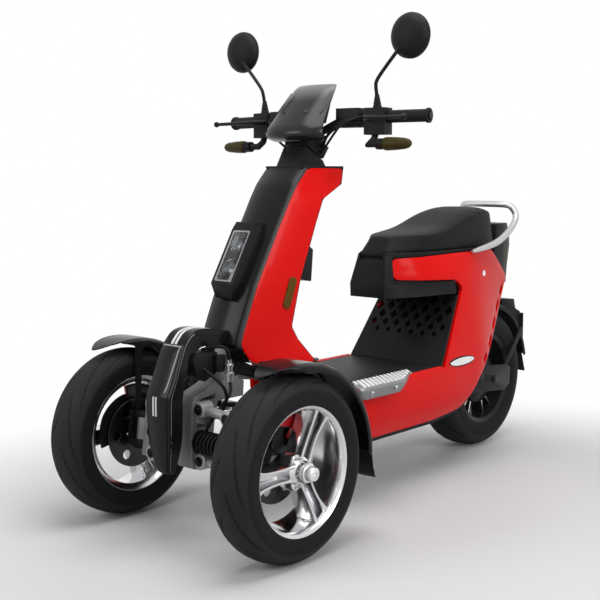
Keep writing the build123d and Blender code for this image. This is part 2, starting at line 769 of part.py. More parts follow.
# Red side panels, one outline cut from a slab that follows the body's width
ARM_X = -62.0
ARM_LOW = 616.0
PANEL_OUTLINE = [
    (ARM_X, SEAT_Z - 11),
    (ARM_X, ARM_LOW),
    (-298, 606),
    (-330, 580),
    (-182, FLOOR_Z - 9),
    (-164.5, FLOOR_Z + 2),
    (272, FLOOR_Z + 2),
    (330, 392),
    (312, 300),
    (240, BELLY_Z),
    (-152, BELLY_Z - 2),
    (-307, 196),
    (-362, 244),
    (-580, 453),
    (-684, 580),
    (-676, 596),
    (-548, SEAT_Z - 1.5),
    (-300, SEAT_Z - 3),
]
BODY_WIDTHS = (
    # x, then half width at each level
    (340, (150, 160, 160, 76, 64)),
    (200, (166, 181, 180, 76, 64)),
    (ARM_X, (166, 181, 180, 76, 64)),
    (-150, (166, 181, 180, 118, 98)),
    (-300, (158, 175, 176, 142, 120)),
    (-450, (140, 158, 164, 138, 124)),
    (-730, (60, 74, 78, 82, 84)),
)
BODY_LEVELS = (170, 240, 350, 600, 700)
VENTS = (
    # x, z, half length along the rear edge
    (-630, 543, 20),
    (-586, 496, 24),
    (-541, 441, 25),
    (-494, 388, 23),
    (-448, 338, 19),
)
VENT_LEAN = 134.0
VENT_HALF = 9.0


def body_half(x, z):
    """Half width of the body at a point of its side."""
    near, far = next(pair for pair in zip(BODY_WIDTHS, BODY_WIDTHS[1:]) if x >= pair[1][0])
    j = max(k for k in range(len(BODY_LEVELS) - 1) if BODY_LEVELS[k] <= z)
    s = (z - BODY_LEVELS[j]) / (BODY_LEVELS[j + 1] - BODY_LEVELS[j])
    t = (near[0] - x) / (near[0] - far[0])
    first, last = (row[1][j] + (row[1][j + 1] - row[1][j]) * s for row in (near, far))
    return first + (last - first) * t


with BuildPart() as side_panel_left:
    slab = []
    for x, widths in BODY_WIDTHS:
        outer_edge = list(zip(widths, BODY_LEVELS))
        inner_edge = [(w - PANEL_T, z) for w, z in reversed(outer_edge)]
        slab.append(outline(Plane.YZ.offset(x), outer_edge + inner_edge))
    loft(slab, ruled=True)
    extrude(outline(Plane.XZ.offset(-10), PANEL_OUTLINE), amount=-240, mode=Mode.INTERSECT)
    along = (cos(radians(VENT_LEAN)), sin(radians(VENT_LEAN)))
    for x, z, half in VENTS:
        side_plate(
            [
                (x + along[0] * half, z + along[1] * half),
                (x + along[1] * VENT_HALF, z - along[0] * VENT_HALF),
                (x - along[0] * half, z - along[1] * half),
                (x - along[1] * VENT_HALF, z + along[0] * VENT_HALF),
            ],
            20,
            240,
            mode=Mode.SUBTRACT,
        )
save(side_panel_left.part, "side_panel_left")

with BuildPart() as side_panel_right:
    mirror(side_panel_left.part, about=Plane.XZ)
save(side_panel_right.part, "side_panel_right")

PLATE_Z = FLOOR_Z + 2 + SEAT_GAP
PLATE_TOP = FLOOR_Z + 12
PLATE_DROP = 26.3
PLATE_PLAN = ((4, 182.5), (127, 250), (296, 246), (304, 238), (268, 182.5))
with BuildPart() as foot_plates:
    ledge = [(4, 167), (4, 190), (268, 190), (262, 167)]
    extrude(outline(Plane.XY.offset(PLATE_Z), ledge), amount=PLATE_TOP - PLATE_Z)
    extrude(outline(Plane.XY.offset(PLATE_Z), PLATE_PLAN), amount=PLATE_TOP - PLATE_Z)
    under = [(x + (150 - x) * 0.12, 182.5 + (y - 182.5) * 0.84) for x, y in PLATE_PLAN]
    sole = outline(Plane.XY.offset(PLATE_Z - PLATE_DROP), under)
    loft([outline(Plane.XY.offset(PLATE_Z), PLATE_PLAN), sole], ruled=True)
    mirror(about=Plane.XZ)
save(foot_plates.part, "foot_plates")

# Perforated panel below the seat
grille_foot = Vector(-168, 0, FLOOR_Z + 0.2)
grille_head = Vector(-300, 0, BUCKET_LOW - 4)
grille_up = (grille_head - grille_foot).normalized()
grille_long = (grille_head - grille_foot).length
grille_plane = Plane(
    origin=grille_foot, x_dir=(0, 1, 0), z_dir=(grille_up.Z, 0, -grille_up.X)
)
GRILLE_T = 6.0
GRILLE_HALF_LOW = 176.0
GRILLE_HALF_HIGH = 146.0
GRILLE_PITCH = 44.0
GRILLE_ROWS = (
    # height on the panel, holes, half height of a hole
    (222, 6, 20),
    (189, 7, 19),
    (158, 6, 17),
    (129, 7, 14),
    (103, 6, 11),
)
HOLE_SHARE = 0.86
with BuildPart() as seat_front_panel:
    sheet = [
        (-GRILLE_HALF_LOW, 0),
        (GRILLE_HALF_LOW, 0),
        (GRILLE_HALF_HIGH, grille_long),
        (-GRILLE_HALF_HIGH, grille_long),
    ]
    extrude(outline(grille_plane, sheet), amount=-GRILLE_T)
    for height, count, half in GRILLE_ROWS:
        wide = half * HOLE_SHARE
        for hole in range(count):
            middle = (hole - (count - 1) / 2) * GRILLE_PITCH
            diamond = [
                (middle - wide, height),
                (middle, height - half),
                (middle + wide, height),
                (middle, height + half),
            ]
            extrude(outline(grille_plane, diamond), amount=-GRILLE_T, mode=Mode.SUBTRACT)
save(seat_front_panel.part, "seat_front_panel")

# Store under the seat
BUCKET_T = 4.0
HINGE_X = -52.0
BUCKET_FRONT = -24.0
BUCKET_REAR = -460.0
FLANK_REAR = -294.0
FLANK_TOP = 603.0
bucket_top = SEAT_Z - LID_GAP
STATIONS = (ARM_X - 0.6, -150.0, -300.0, BUCKET_REAR)


def tub(level, wall):
    """Plan of the store on one level, inside the side panels by a wall."""
    inset = PANEL_T + 0.4 + wall
    return both_sides([(x - (wall if x > -100 else 0), body_half(x, level) - inset) for x in STATIONS])


def bucket_nose(level, front, half):
    """Plan of the store's front on one level, out to the ends of the side panels."""
    return both_sides([(front, half), (ARM_X + 0.6, body_half(ARM_X, level) - 1)])


with BuildPart() as seat_bucket:
    levels = (BUCKET_LOW, FLANK_TOP, bucket_top)
    loft([outline(Plane.XY.offset(z), tub(z, 0)) for z in levels], ruled=True)
    low_flank = [(BUCKET_FRONT, 64), *[(x, body_half(x, BUCKET_LOW) - 1) for x in (-96, FLANK_REAR)]]
    top_flank = [(BUCKET_FRONT, 66), *[(x, body_half(x, FLANK_TOP) - 1) for x in (ARM_X, FLANK_REAR)]]
    loft(
        [
            outline(Plane.XY.offset(BUCKET_LOW), both_sides(low_flank)),
            outline(Plane.XY.offset(FLANK_TOP), both_sides(top_flank)),
        ],
        ruled=True,
    )
    loft(
        [
            outline(Plane.XY.offset(FLANK_TOP), bucket_nose(FLANK_TOP, BUCKET_FRONT, 66)),
            outline(Plane.XY.offset(bucket_top), bucket_nose(bucket_top, HINGE_X + 6, 52)),
        ],
        ruled=True,
    )
    with Locations((ARM_X, 0, (FLANK_TOP + bucket_top) / 2)):
        Box(6, 90, bucket_top - FLANK_TOP)
    cavity = (BUCKET_LOW + BUCKET_T, FLANK_TOP, SEAT_Z)
    loft([outline(Plane.XY.offset(z), tub(z, BUCKET_T)) for z in cavity], ruled=True, mode=Mode.SUBTRACT)
    with Locations((-48, 0, SEAT_Z)):
        Box(44, 88, 30, mode=Mode.SUBTRACT)
    for side in (1, -1):
        side_plate(
            [(-40, 660), (-64, 660), (-58, SEAT_Z + 5), (-46, SEAT_Z + 5), (-40, 684)],
            side * 47 - 3,
            side * 47 + 3,
        )
    with Locations(Location((HINGE_X, 0, SEAT_Z), (90, 0, 0))):
        Cylinder(3, 100)
save(seat_bucket.part, "seat_bucket")

BASE_T = 8.0
with BuildPart() as seat_base:
    base_plan = both_sides([(-62, 46), (-150, 85), (-300, 107), (-520, 109), (-612, 84)])
    extrude(outline(Plane.XY.offset(SEAT_Z), base_plan), amount=BASE_T)
    with Locations((HINGE_X - 4, 0, SEAT_Z + BASE_T / 2)):
        Box(20, 80, BASE_T)
    with Locations(Location((HINGE_X, 0, SEAT_Z), (90, 0, 0))):
        Cylinder(6, 80)
        Cylinder(3 + RUN_GAP, 80, mode=Mode.SUBTRACT)
save(seat_base.part, "seat_base")

SEAT_HALF = 119.0
SEAT_SIDE = (
    # x, z round the cushion seen from the side
    (HINGE_X - 2, SEAT_Z + BASE_T),
    (-84, 740),
    (-104, 748),
    (-280, 764),
    (-350, 790),
    (-430, 820),
    (-560, 828),
    (-600, 816),
    (-622, 760),
    (-616, SEAT_Z + BASE_T),
)
SEAT_PLAN = ((-50, 50), (-78, 72), (-150, 98), (-300, SEAT_HALF), (-500, SEAT_HALF), (-590, 104), (-640, 74))
SEAT_END = ((SEAT_HALF, SEAT_Z), (SEAT_HALF, 730), (SEAT_HALF - 15, 760), (SEAT_HALF - 35, 850))
with BuildPart() as seat_cushion:
    side_plate(SEAT_SIDE, -SEAT_HALF, SEAT_HALF)
    plan_cut(both_sides(SEAT_PLAN), SEAT_Z - 40, SEAT_Z + 160)
    front_cut(across(SEAT_END), -660, 0)
save(seat_cushion.part, "seat_cushion")

# Tail, grab rail and tail lamp
TAIL_SIDE = (
    # x, z round the tail seen from the side
    (-630, 690),
    (-640, 766),
    (-736, 767),
    (-768, 730),
    (-775, 690),
    (-748, 618),
    (-735, 560),
    (TAIL_FRONT_X, 560),
    (TAIL_FRONT_X, 640),
)
TAIL_PLAN = ((TAIL_FRONT_X, 84), (-690, 75.7), (-780, 50))
SIDE_LAMP = ((-722, 628), (-728, 686), (-790, 686), (-790, 628))
LAMP_IN = 44.0
LAMP_T = 4.0
with BuildPart() as tail_block:
    side_plate(TAIL_SIDE, -90, 90)
    plan_cut(both_sides(TAIL_PLAN), 500, 800)

with BuildPart() as tail_cover:
    add(tail_block.part)
    for side in (1, -1):
        side_plate(SIDE_LAMP, side * (LAMP_IN + 25) - 25, side * (LAMP_IN + 25) + 25, mode=Mode.SUBTRACT)
save(tail_cover.part, "tail_cover")

with BuildPart() as tail_indicators:
    for side in (1, -1):
        low, high = sorted((side * (LAMP_IN + SEAT_GAP), side * 100))
        side_plate([(x - SEAT_GAP, z) for x, z in SIDE_LAMP], low, high)
    add(tail_block.part, mode=Mode.INTERSECT)
save(tail_indicators.part, "tail_indicators")

with BuildPart() as tail_lamp:
    seat_edge = [(x - SEAT_GAP, z) for x, z in TAIL_SIDE[3:5]]
    face_edge = [(x - LAMP_T, z) for x, z in reversed(TAIL_SIDE[3:5])]
    side_plate(seat_edge + face_edge, -36, 36)
save(tail_lamp.part, "tail_lamp")

with BuildPart() as grab_rail:
    round_bar(
        11,
        [
            (-396, SEAT_HALF + 17.2, 688),
            (-540, SEAT_HALF + 16.5, 706),
            (-650, SEAT_HALF + 7, 744),
            (-712, SEAT_HALF - 7, 792),
            (-694, SEAT_HALF - 27, 828),
            (-690, 0, 832),
        ],
    )
    mirror(about=Plane.XZ)
save(grab_rail.part, "grab_rail")

# Rear wheel with its motor in the hub
half_rear = REAR_TYRE_W / 2
rear_tyre_half = [(-54, REAR_BEAD_R), (-half_rear, REAR_TYRE_R - 28), (-half_rear / 2, REAR_TYRE_R)]
with BuildPart() as tyre_rear:
    turned(
        rear_wheel_plane,
        rear_axle,
        [*rear_tyre_half, *[(-w, r) for w, r in reversed(rear_tyre_half)]],
    )
save(tyre_rear.part, "tyre_rear")

MOTOR_R = 88.0
MOTOR_HALF = 52.0
rear_lip_r = REAR_BEAD_R + RIM_LIP
rear_well_r = REAR_BEAD_R - RIM_WELL
rear_rim_half = [(-62, rear_lip_r), (-58, rear_lip_r), (-54.6, REAR_BEAD_R - CURVE_GAP)]
with BuildPart() as rim_rear:
    turned(
        rear_wheel_plane,
        rear_axle,
        [
            *rear_rim_half,
            *[(-w, r) for w, r in reversed(rear_rim_half)],
            (52, rear_well_r),
            (-52, rear_well_r),
        ],
    )
    for angle in range(0, 360, 60):
        spoke_plane = Plane(
            origin=(REAR_AXLE_X, 0, REAR_TYRE_R),
            x_dir=(cos(radians(angle)), 0, sin(radians(angle))),
            z_dir=(0, 1, 0),
        )
        for side in (1, -1):
            blade = [(MOTOR_R - 2, 6), (rear_well_r + 5, 22), (rear_well_r + 5, 30), (MOTOR_R - 2, 14)]
            extrude(outline(spoke_plane, [(u, side * v) for u, v in blade]), amount=22, both=True)
    turned(
        rear_wheel_plane,
        rear_axle,
        [
            (-MOTOR_HALF, AXLE_R + RUN_GAP),
            (-MOTOR_HALF, 40),
            (-34, MOTOR_R),
            (34, MOTOR_R),
            (MOTOR_HALF, 40),
            (MOTOR_HALF, AXLE_R + RUN_GAP),
        ],
    )
save(rim_rear.part, "rim_rear")

SWING_Y = 78.0
SWING_T = 16.0
SWING_PIVOT = (-302, 284)
SWING_SIDE = (
    # x, z round one arm
    (-296, 316),
    (-286, 264),
    (-470, 210),
    (REAR_AXLE_X - 71.5, REAR_TYRE_R - 48.5),
    (REAR_AXLE_X - 103.5, REAR_TYRE_R - 30.5),
    (REAR_AXLE_X - 107.5, REAR_TYRE_R + 25.5),
    (REAR_AXLE_X - 85.5, REAR_TYRE_R + 39.5),
    (-530, 292),
)
with BuildPart() as swingarm:
    for side in (1, -1):
        middle = side * (SWING_Y + SWING_T / 2)
        side_plate(SWING_SIDE, middle - SWING_T / 2, middle + SWING_T / 2)
    with Locations(Location((SWING_PIVOT[0], 0, SWING_PIVOT[1]), (90, 0, 0))):
        Cylinder(16, 2 * SWING_Y + 2)
    with Locations(Location((REAR_AXLE_X, 0, REAR_TYRE_R), (90, 0, 0))):
        Cylinder(AXLE_R, 2 * (SWING_Y + SWING_T) + 12)
save(swingarm.part, "swingarm")

REAR_GUARD_R = REAR_TYRE_R + REAR_GUARD_GAP
PLATE_HOLE_Y = 36.0
guard_half = 74.0
rear_guard_section = [
    (-guard_half, REAR_GUARD_R - 20),
    (-guard_half, REAR_GUARD_R - 8),
    (-guard_half + 14, REAR_GUARD_R),
    (guard_half - 14, REAR_GUARD_R),
    (guard_half, REAR_GUARD_R - 8),
    (guard_half, REAR_GUARD_R - 20),
    (guard_half - 3, REAR_GUARD_R - 20),
    (guard_half - 3, REAR_GUARD_R - 9.5),
    (guard_half - 14, REAR_GUARD_R - 3),
    (-guard_half + 14, REAR_GUARD_R - 3),
    (-guard_half + 3, REAR_GUARD_R - 9.5),
    (-guard_half + 3, REAR_GUARD_R - 20),
]
REAR_GUARD_FROM = 96.0
REAR_GUARD_TO = 168.0
FLAP_REACH = 22.5
REAR_END_X = REAR_AXLE_X - REAR_GUARD_R - FLAP_REACH
rear_guard_start = Plane(
    origin=(REAR_AXLE_X, 0, REAR_TYRE_R),
    x_dir=(0, 1, 0),
    z_dir=(sin(radians(REAR_GUARD_FROM)), 0, -cos(radians(REAR_GUARD_FROM))),
)
BRACKET = (
    # degrees round the rear axle, lift off the mudguard's crown
    (121, -3),
    (117, 30),
    (130.5, 72),
    (136, 54),
    (142, 70),
    (149.5, 44),
    (146, 6),
    (134, -1),
)
PLATE_REACH = 3.5
PLATE_X = REAR_AXLE_X - REAR_GUARD_R - PLATE_REACH
PLATE_T = 4.0
PLATE_HIGH = REAR_TYRE_R + 199.5
PLATE_LOW = REAR_TYRE_R + 79.5
PLATE_HOLE_Z = PLATE_LOW + 46.0


def rear_point(degrees, lift):
    """Side-view point round the rear axle, lifted off the mudguard's crown."""
    reach = REAR_GUARD_R + lift
    return (REAR_AXLE_X + reach * cos(radians(degrees)), REAR_TYRE_R + reach * sin(radians(degrees)))


with BuildPart() as rear_mudguard:
    turned(
        rear_guard_start,
        Axis(rear_axle.position, (0, -1, 0)),
        rear_guard_section,
        REAR_GUARD_TO - REAR_GUARD_FROM,
    )
    end_x, end_z = rear_point(REAR_GUARD_TO, 0)
    flap = [
        (end_x + 2, end_z + 1),
        (end_x - 2, end_z + 5),
        (REAR_END_X, end_z - 67),
        (REAR_END_X + 5, end_z - 69),
    ]
    side_plate(flap, -52, 52)
    for side in (1, -1):
        middle = side * (SWING_Y - 2.4)
        stay = [
            (REAR_AXLE_X - 83.5, REAR_TYRE_R + 25.5),
            (REAR_AXLE_X - 107.5, REAR_TYRE_R + 21.5),
            rear_point(147, 0.3),
            rear_point(142, -1),
        ]
        side_plate(stay, middle - 2.4, middle + 2.4)
    side_plate([rear_point(degrees, lift) for degrees, lift in BRACKET], -40, 40)
    side_plate(
        [
            (PLATE_X, PLATE_HIGH),
            (PLATE_X + PLATE_T, PLATE_HIGH),
            (PLATE_X + PLATE_T, PLATE_LOW),
            (PLATE_X, PLATE_LOW),
        ],
        -52,
        52,
    )
    with Locations(
        Location((PLATE_X, PLATE_HOLE_Y, PLATE_HOLE_Z), (0, 90, 0)),
        Location((PLATE_X, -PLATE_HOLE_Y, PLATE_HOLE_Z), (0, 90, 0)),
    ):
        Cylinder(3.2, 4 * PLATE_T, mode=Mode.SUBTRACT)
save(rear_mudguard.part, "rear_mudguard")

SHOCK_LOW = (-512.0, 262.0)
shock_line = [Vector(x, SHOCK_Y, z) for x, z in (SHOCK_LOW, SHOCK_TOP)]
with BuildPart() as rear_shocks:
    round_bar(8, [tuple(point) for point in shock_line])
    shock_run = shock_line[1] - shock_line[0]
    round_bar(15, [tuple(shock_line[0] + shock_run * share) for share in (0.2, 0.76)])
    for x, z in (SHOCK_LOW, SHOCK_TOP):
        with Locations(Location((x, SHOCK_Y, z), (90, 0, 0))):
            Cylinder(14, 16)
    mirror(about=Plane.XZ)
save(rear_shocks.part, "rear_shocks")

PEG_FRONT = (-213.5, 346)
PEG_REAR = (-357.5, 358)
PEG_LIFT = 2.2
peg_ends = [Vector(x, body_half(x, FLOOR_Z) + PEG_LIFT, z) for x, z in (PEG_FRONT, PEG_REAR)]
peg_along = (peg_ends[1] - peg_ends[0]).normalized()
peg_out = Vector(peg_along.Y, -peg_along.X, 0).normalized()
peg_plane = Plane(origin=(peg_ends[0] + peg_ends[1]) * 0.5, x_dir=peg_along, z_dir=peg_out)
with BuildPart() as pillion_pegs:
    with BuildSketch(peg_plane):
        SlotOverall((peg_ends[1] - peg_ends[0]).length, 26)
    extrude(amount=6)
    mirror(about=Plane.XZ)
save(pillion_pegs.part, "pillion_pegs")

REFLECTOR = ((410, 668), (424, 664), (460, 586), (446, 580))


def shield_point(x, z):
    """Point on the left face of the strut."""
    low = max(row for row in SHIELD if row[0] <= z)
    high = min(row for row in SHIELD if row[0] > z)
    t = (z - low[0]) / (high[0] - low[0])
    row = [a + (b - a) * t for a, b in zip(low, high)]
    return Vector(x, shield_width(row, x), z)


reflector_at = [shield_point(x, z) for x, z in REFLECTOR]
reflector_up = (reflector_at[0] - reflector_at[3]).normalized()
reflector_out = (reflector_at[1] - reflector_at[3]).cross(reflector_up).normalized() * -1
reflector_plane = Plane(origin=reflector_at[3], x_dir=reflector_up, z_dir=reflector_out)
with BuildPart() as side_reflectors:
    flat = [reflector_plane.to_local_coords(point) for point in reflector_at]
    extrude(outline(reflector_plane.offset(0.6), [(point.X, point.Y) for point in flat]), amount=2.5)
    mirror(about=Plane.XZ)
save(side_reflectors.part, "side_reflectors")

# Handlebar and what it carries
bar_run = (Vector(*BAR_END) - Vector(*BAR_BEND)).normalized()
bar_plane = Plane(origin=BAR_BEND, x_dir=(0, 0, 1), z_dir=bar_run)
with BuildPart() as handlebar:
    round_bar(BAR_R, [*BAR_LOW, BAR_BEND, BAR_END])
    mirror(about=Plane.XZ)
save(handlebar.part, "handlebar")

GRIP_FROM = 114.0
GRIP_LONG = 122.0
with BuildPart() as grips:
    with BuildSketch(bar_plane.offset(GRIP_FROM)):
        Circle(17)
        Circle(BAR_R + CURVE_GAP, mode=Mode.SUBTRACT)
    extrude(amount=GRIP_LONG)
    with BuildSketch(bar_plane.offset(GRIP_FROM + GRIP_LONG - 8)):
        Circle(20)
        Circle(BAR_R + CURVE_GAP, mode=Mode.SUBTRACT)
    extrude(amount=8)
    mirror(about=Plane.XZ)
save(grips.part, "grips")

BOX_HIGH = 72.0
BOX_SINK = 12.0
box_top = BAR_END[2] - BOX_SINK + BOX_HIGH / 2 + SEAT_GAP
LENS_Y = 257.0
LENS_AT = (236.5, 1014.0)
with BuildPart() as switch_boxes:
    with BuildSketch(bar_plane.offset(51)):
        with Locations((-BOX_SINK, 2)):
            Rectangle(BOX_HIGH, 46)
    extrude(amount=GRIP_FROM - 51.5)
    with BuildSketch(bar_plane.offset(-36)):
        with Locations((-1, 4)):
            Rectangle(52, 44)
    extrude(amount=70)
    lens_foot = (LENS_AT[0], LENS_Y - SEAT_GAP, LENS_AT[1])
    round_bar(9, [(206, 205, 1050), (216, 205, 1028), (LENS_AT[0], 205, LENS_AT[1]), lens_foot])
    with BuildSketch(Plane(origin=lens_foot, z_dir=(0, -1, 0))):
        Circle(15)
    extrude(amount=24)
    round_bar(BAR_R + CURVE_GAP, [*BAR_LOW, BAR_BEND, BAR_END], mode=Mode.SUBTRACT)
    mirror(about=Plane.XZ)
save(switch_boxes.part, "switch_boxes")

with BuildPart() as brake_levers:
    round_bar(6, [(223, 185, 1084), (250, 196, 1084), (264, 222, 1083), (272, 338, 1081)])
    with BuildSketch(Plane(origin=(271.6, 334, 1081), z_dir=(0.08, 1, 0))):
        Circle(9)
    extrude(amount=17)
    mirror(about=Plane.XZ)
    add(switch_boxes.part, mode=Mode.SUBTRACT)
save(brake_levers.part, "brake_levers")

MIRROR_C = (201.5, 306, 1296)
MIRROR_R = 60.0
mirror_plane = Plane(origin=MIRROR_C, x_dir=(0, 1, 0), z_dir=(1, 0, 0))
with BuildPart() as mirror_shells:
    with BuildSketch(Plane(origin=MIRROR_C, x_dir=(1, 0, 0), z_dir=(0, -1, 0))):
        with BuildLine():
            Polyline(
                (-10, 0),
                (-10, 56),
                (-14, 56),
                (-14, MIRROR_R),
                (-3, MIRROR_R),
                (12, 47),
                (22, 22),
                (24, 0),
                close=True,
            )
        make_face()
    revolve(axis=Axis(MIRROR_C, (1, 0, 0)))
    mirror(about=Plane.XZ)
save(mirror_shells.part, "mirror_shells")

with BuildPart() as mirror_stems:
    round_bar(5, [(205, 207, box_top + 2), (214, 207, 1178), (214, 296, 1268)])
    with BuildSketch(Plane(origin=(205, 207, box_top), z_dir=(0, 0, 1))):
        Circle(11)
    extrude(amount=30, taper=9)
    mirror(about=Plane.XZ)
    add(mirror_shells.part, mode=Mode.SUBTRACT)
save(mirror_stems.part, "mirror_stems")

with BuildPart() as mirror_glasses:
    with BuildSketch(mirror_plane.offset(-12)):
        Circle(55.8)
    extrude(amount=2)
    mirror(about=Plane.XZ)
save(mirror_glasses.part, "mirror_glasses")

with BuildPart() as cowl:
    side_plate(
        [
            (258, 1020),
            (338, 1026),
            (356, 1040),
            (352, 1054),
            (240, 1180),
            (226, 1182),
            (218, 1174),
            (312, 1060),
            (276, 1036),
            (262, 1036),
        ],
        -112,
        112,
    )
    front_cut(across([(84, 1020), (104, 1034), (105, 1052), (79, 1174), (70, 1184)]), 180, 380)
    plan_cut(both_sides([(362, 30), (334, 110), (180, 110)]), 1000, 1200)
    add(steering_column.part, mode=Mode.SUBTRACT)
save(cowl.part, "cowl")

with BuildPart() as display:
    with Locations(Location((230, 0, 1104), (0, -20, 0))):
        Box(20, 96, 56)
    side_plate([(228, 1040), (242, 1040), (240, 1092), (226, 1092)], -16, 16)
    add(steering_column.part, mode=Mode.SUBTRACT)
    add(handlebar.part, mode=Mode.SUBTRACT)
save(display.part, "display")

with BuildPart() as indicator_lenses:
    with BuildSketch(Plane(origin=(LENS_AT[0], LENS_Y, LENS_AT[1]), z_dir=(0, 1, 0))):
        Circle(18)
    extrude(amount=84, taper=4)
    mirror(about=Plane.XZ)
save(indicator_lenses.part, "indicator_lenses")
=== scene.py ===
import math

import bmesh
import bpy
from mathutils import Matrix, Vector
from mathutils.geometry import delaunay_2d_cdt


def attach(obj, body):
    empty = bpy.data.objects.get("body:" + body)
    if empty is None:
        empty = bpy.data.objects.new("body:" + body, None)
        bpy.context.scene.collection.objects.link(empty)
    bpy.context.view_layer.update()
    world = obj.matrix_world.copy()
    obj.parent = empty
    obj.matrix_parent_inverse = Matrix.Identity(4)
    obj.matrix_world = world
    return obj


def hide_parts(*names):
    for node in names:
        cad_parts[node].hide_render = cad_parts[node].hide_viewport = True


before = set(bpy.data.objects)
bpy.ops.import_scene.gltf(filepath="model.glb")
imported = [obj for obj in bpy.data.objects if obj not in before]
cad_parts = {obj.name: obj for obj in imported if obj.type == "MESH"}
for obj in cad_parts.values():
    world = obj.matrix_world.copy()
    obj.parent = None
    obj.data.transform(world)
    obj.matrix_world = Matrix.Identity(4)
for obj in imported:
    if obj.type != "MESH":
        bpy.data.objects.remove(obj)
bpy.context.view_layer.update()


# Frame: welded steel tubes with the head tube, powder coated in black. The battery is a sealed block
# between the rails, and a pressed pan closes the belly below it.
class Value:
    """A socket of a finish; arithmetic on it adds the Math nodes."""

    def __init__(self, finish, socket):
        self.finish = finish
        self.socket = socket

    def __add__(self, other):
        return self.finish.math("ADD", self, other)

    def __sub__(self, other):
        return self.finish.math("SUBTRACT", self, other)

    def __mul__(self, other):
        return self.finish.math("MULTIPLY", self, other)

    def __gt__(self, other):
        return self.finish.math("GREATER_THAN", self, other)

    def __abs__(self):
        return self.finish.math("ABSOLUTE", self)

    __radd__ = __add__


class Finish:
    """A material whose varying sockets are fed by nodes and whose fixed numbers stay on the shader."""

    def __init__(self, name, colour, roughness, fixed=()):
        self.material = bpy.data.materials.new(name)
        self.material.use_nodes = True
        self.tree = self.material.node_tree
        self.shader = self.tree.nodes["Principled BSDF"]
        self.colour, self.roughness = (*colour, 1.0), roughness
        for socket, number in {"Base Color": self.colour, "Roughness": roughness, **dict(fixed)}.items():
            self.shader.inputs[socket].default_value = number
        self.place = self.add("ShaderNodeTexCoord", output="Object")

    def add(self, kind, settings=(), sockets=(), output=0):
        """Any node, with its settings first and then the values or links of its sockets."""
        node = self.tree.nodes.new(kind)
        for name, setting in dict(settings).items():
            setattr(node, name, setting)
        for name, value in dict(sockets).items():
            self.link(node.inputs[name], value)
        return Value(self, node.outputs[output])

    def link(self, socket, value):
        if isinstance(value, Value):
            self.tree.links.new(value.socket, socket)
        else:
            socket.default_value = value

    def feed(self, socket, value):
        self.link(self.shader.inputs[socket], value)

    def math(self, operation, *values):
        return self.add("ShaderNodeMath", {"operation": operation}, dict(enumerate(values)))

    def mix(self, share, first, second):
        return self.add("ShaderNodeMix", {"data_type": "RGBA"}, {0: share, 6: first, 7: second}, 2)

    def texture(self, kind, scale, settings=(), **sockets):
        """A texture of the object's own place."""
        return self.add("ShaderNodeTex" + kind, settings, {"Vector": self.place, "Scale": scale, **sockets})

    def noise(self, scale, detail=3.0):
        return self.texture("Noise", scale, Detail=detail)

    def relief(self, height, depth, strength=0.5):
        """Raise the surface by a height field, depth in metres."""
        bump = self.add("ShaderNodeBump", (), {"Height": height, "Distance": depth, "Strength": strength})
        self.feed("Normal", bump)
        return self

    def surfaced(self, tint, spread, patch, grain, depth):
        """Colour, if it has a tint, and gloss drift in patches, and a fine grain covers the surface."""
        cloud = self.noise(patch, 5.0)
        if tint:
            self.feed("Base Color", self.mix(cloud, self.colour, (*tint, 1.0)))
        self.feed("Roughness", self.roughness + (cloud - 0.5) * spread)
        return self.relief(self.noise(grain), depth)


def shaded(mesh, sharp):
    """Smooth shading that breaks at edges sharper than an angle."""
    mesh.shade_smooth()
    mesh.set_sharp_from_angle(angle=math.radians(sharp))


def placed(name, mesh, finish=None, sharp=None):
    """Object for a mesh, with one finish and its shading where they are given."""
    if finish:
        mesh.materials.clear()
        mesh.materials.append(finish.material)
    if sharp:
        shaded(mesh, sharp)
    piece = bpy.data.objects.new(name, mesh)
    bpy.context.collection.objects.link(piece)
    return piece


def baked(piece, sharp):
    """Work the modifiers of a piece into its mesh."""
    drawn = piece.evaluated_get(bpy.context.evaluated_depsgraph_get())
    mesh = bpy.data.meshes.new_from_object(drawn)
    piece.modifiers.clear()
    piece.data = mesh
    shaded(mesh, sharp)
    return piece


def made(name, points, faces, finish, sharp=40, facing=None):
    """Piece from points in millimetres; a sheet is turned to face one way."""
    mesh = bpy.data.meshes.new(name)
    mesh.from_pydata([Vector(point) * 0.001 for point in points], [], faces)
    shell = bmesh.new()
    shell.from_mesh(mesh)
    bmesh.ops.remove_doubles(shell, verts=shell.verts, dist=2e-6)
    bmesh.ops.recalc_face_normals(shell, faces=shell.faces)
    if facing:
        shell.normal_update()
        outward = sum((face.normal * face.calc_area() for face in shell.faces), Vector())
        if outward.dot(Vector(facing)) < 0:
            bmesh.ops.reverse_faces(shell, faces=shell.faces)
    shell.to_mesh(mesh)
    shell.free()
    return placed(name, mesh, finish, sharp)


def settled(piece, *steps, sharp=40):
    """Add modifiers to a piece, in order, and work them in."""
    for kind, settings in steps:
        modifier = piece.modifiers.new(kind.lower(), kind)
        for name, setting in settings.items():
            setattr(modifier, name, setting)
    return baked(piece, sharp)


def rounded(width, segments=2, angle=28):
    """Step that rounds the edges sharper than an angle."""
    edge = math.radians(angle)
    return "BEVEL", {"width": width * 0.001, "segments": segments, "limit_method": "ANGLE", "angle_limit": edge}


def walled(thickness, offset=-1.0):
    """Step that gives a sheet its wall."""
    return "SOLIDIFY", {"thickness": thickness * 0.001, "offset": offset, "use_even_offset": True}


def smoothed(levels):
    """Step that rounds a coarse form."""
    return "SUBSURF", {"levels": levels, "render_levels": levels}


def mounted(piece, body, slot, *nodes):
    """Set a piece on its body and hide the solids that it stands for; the slot is not used."""
    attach(piece, body)
    if nodes:
        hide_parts(*nodes)
    return piece


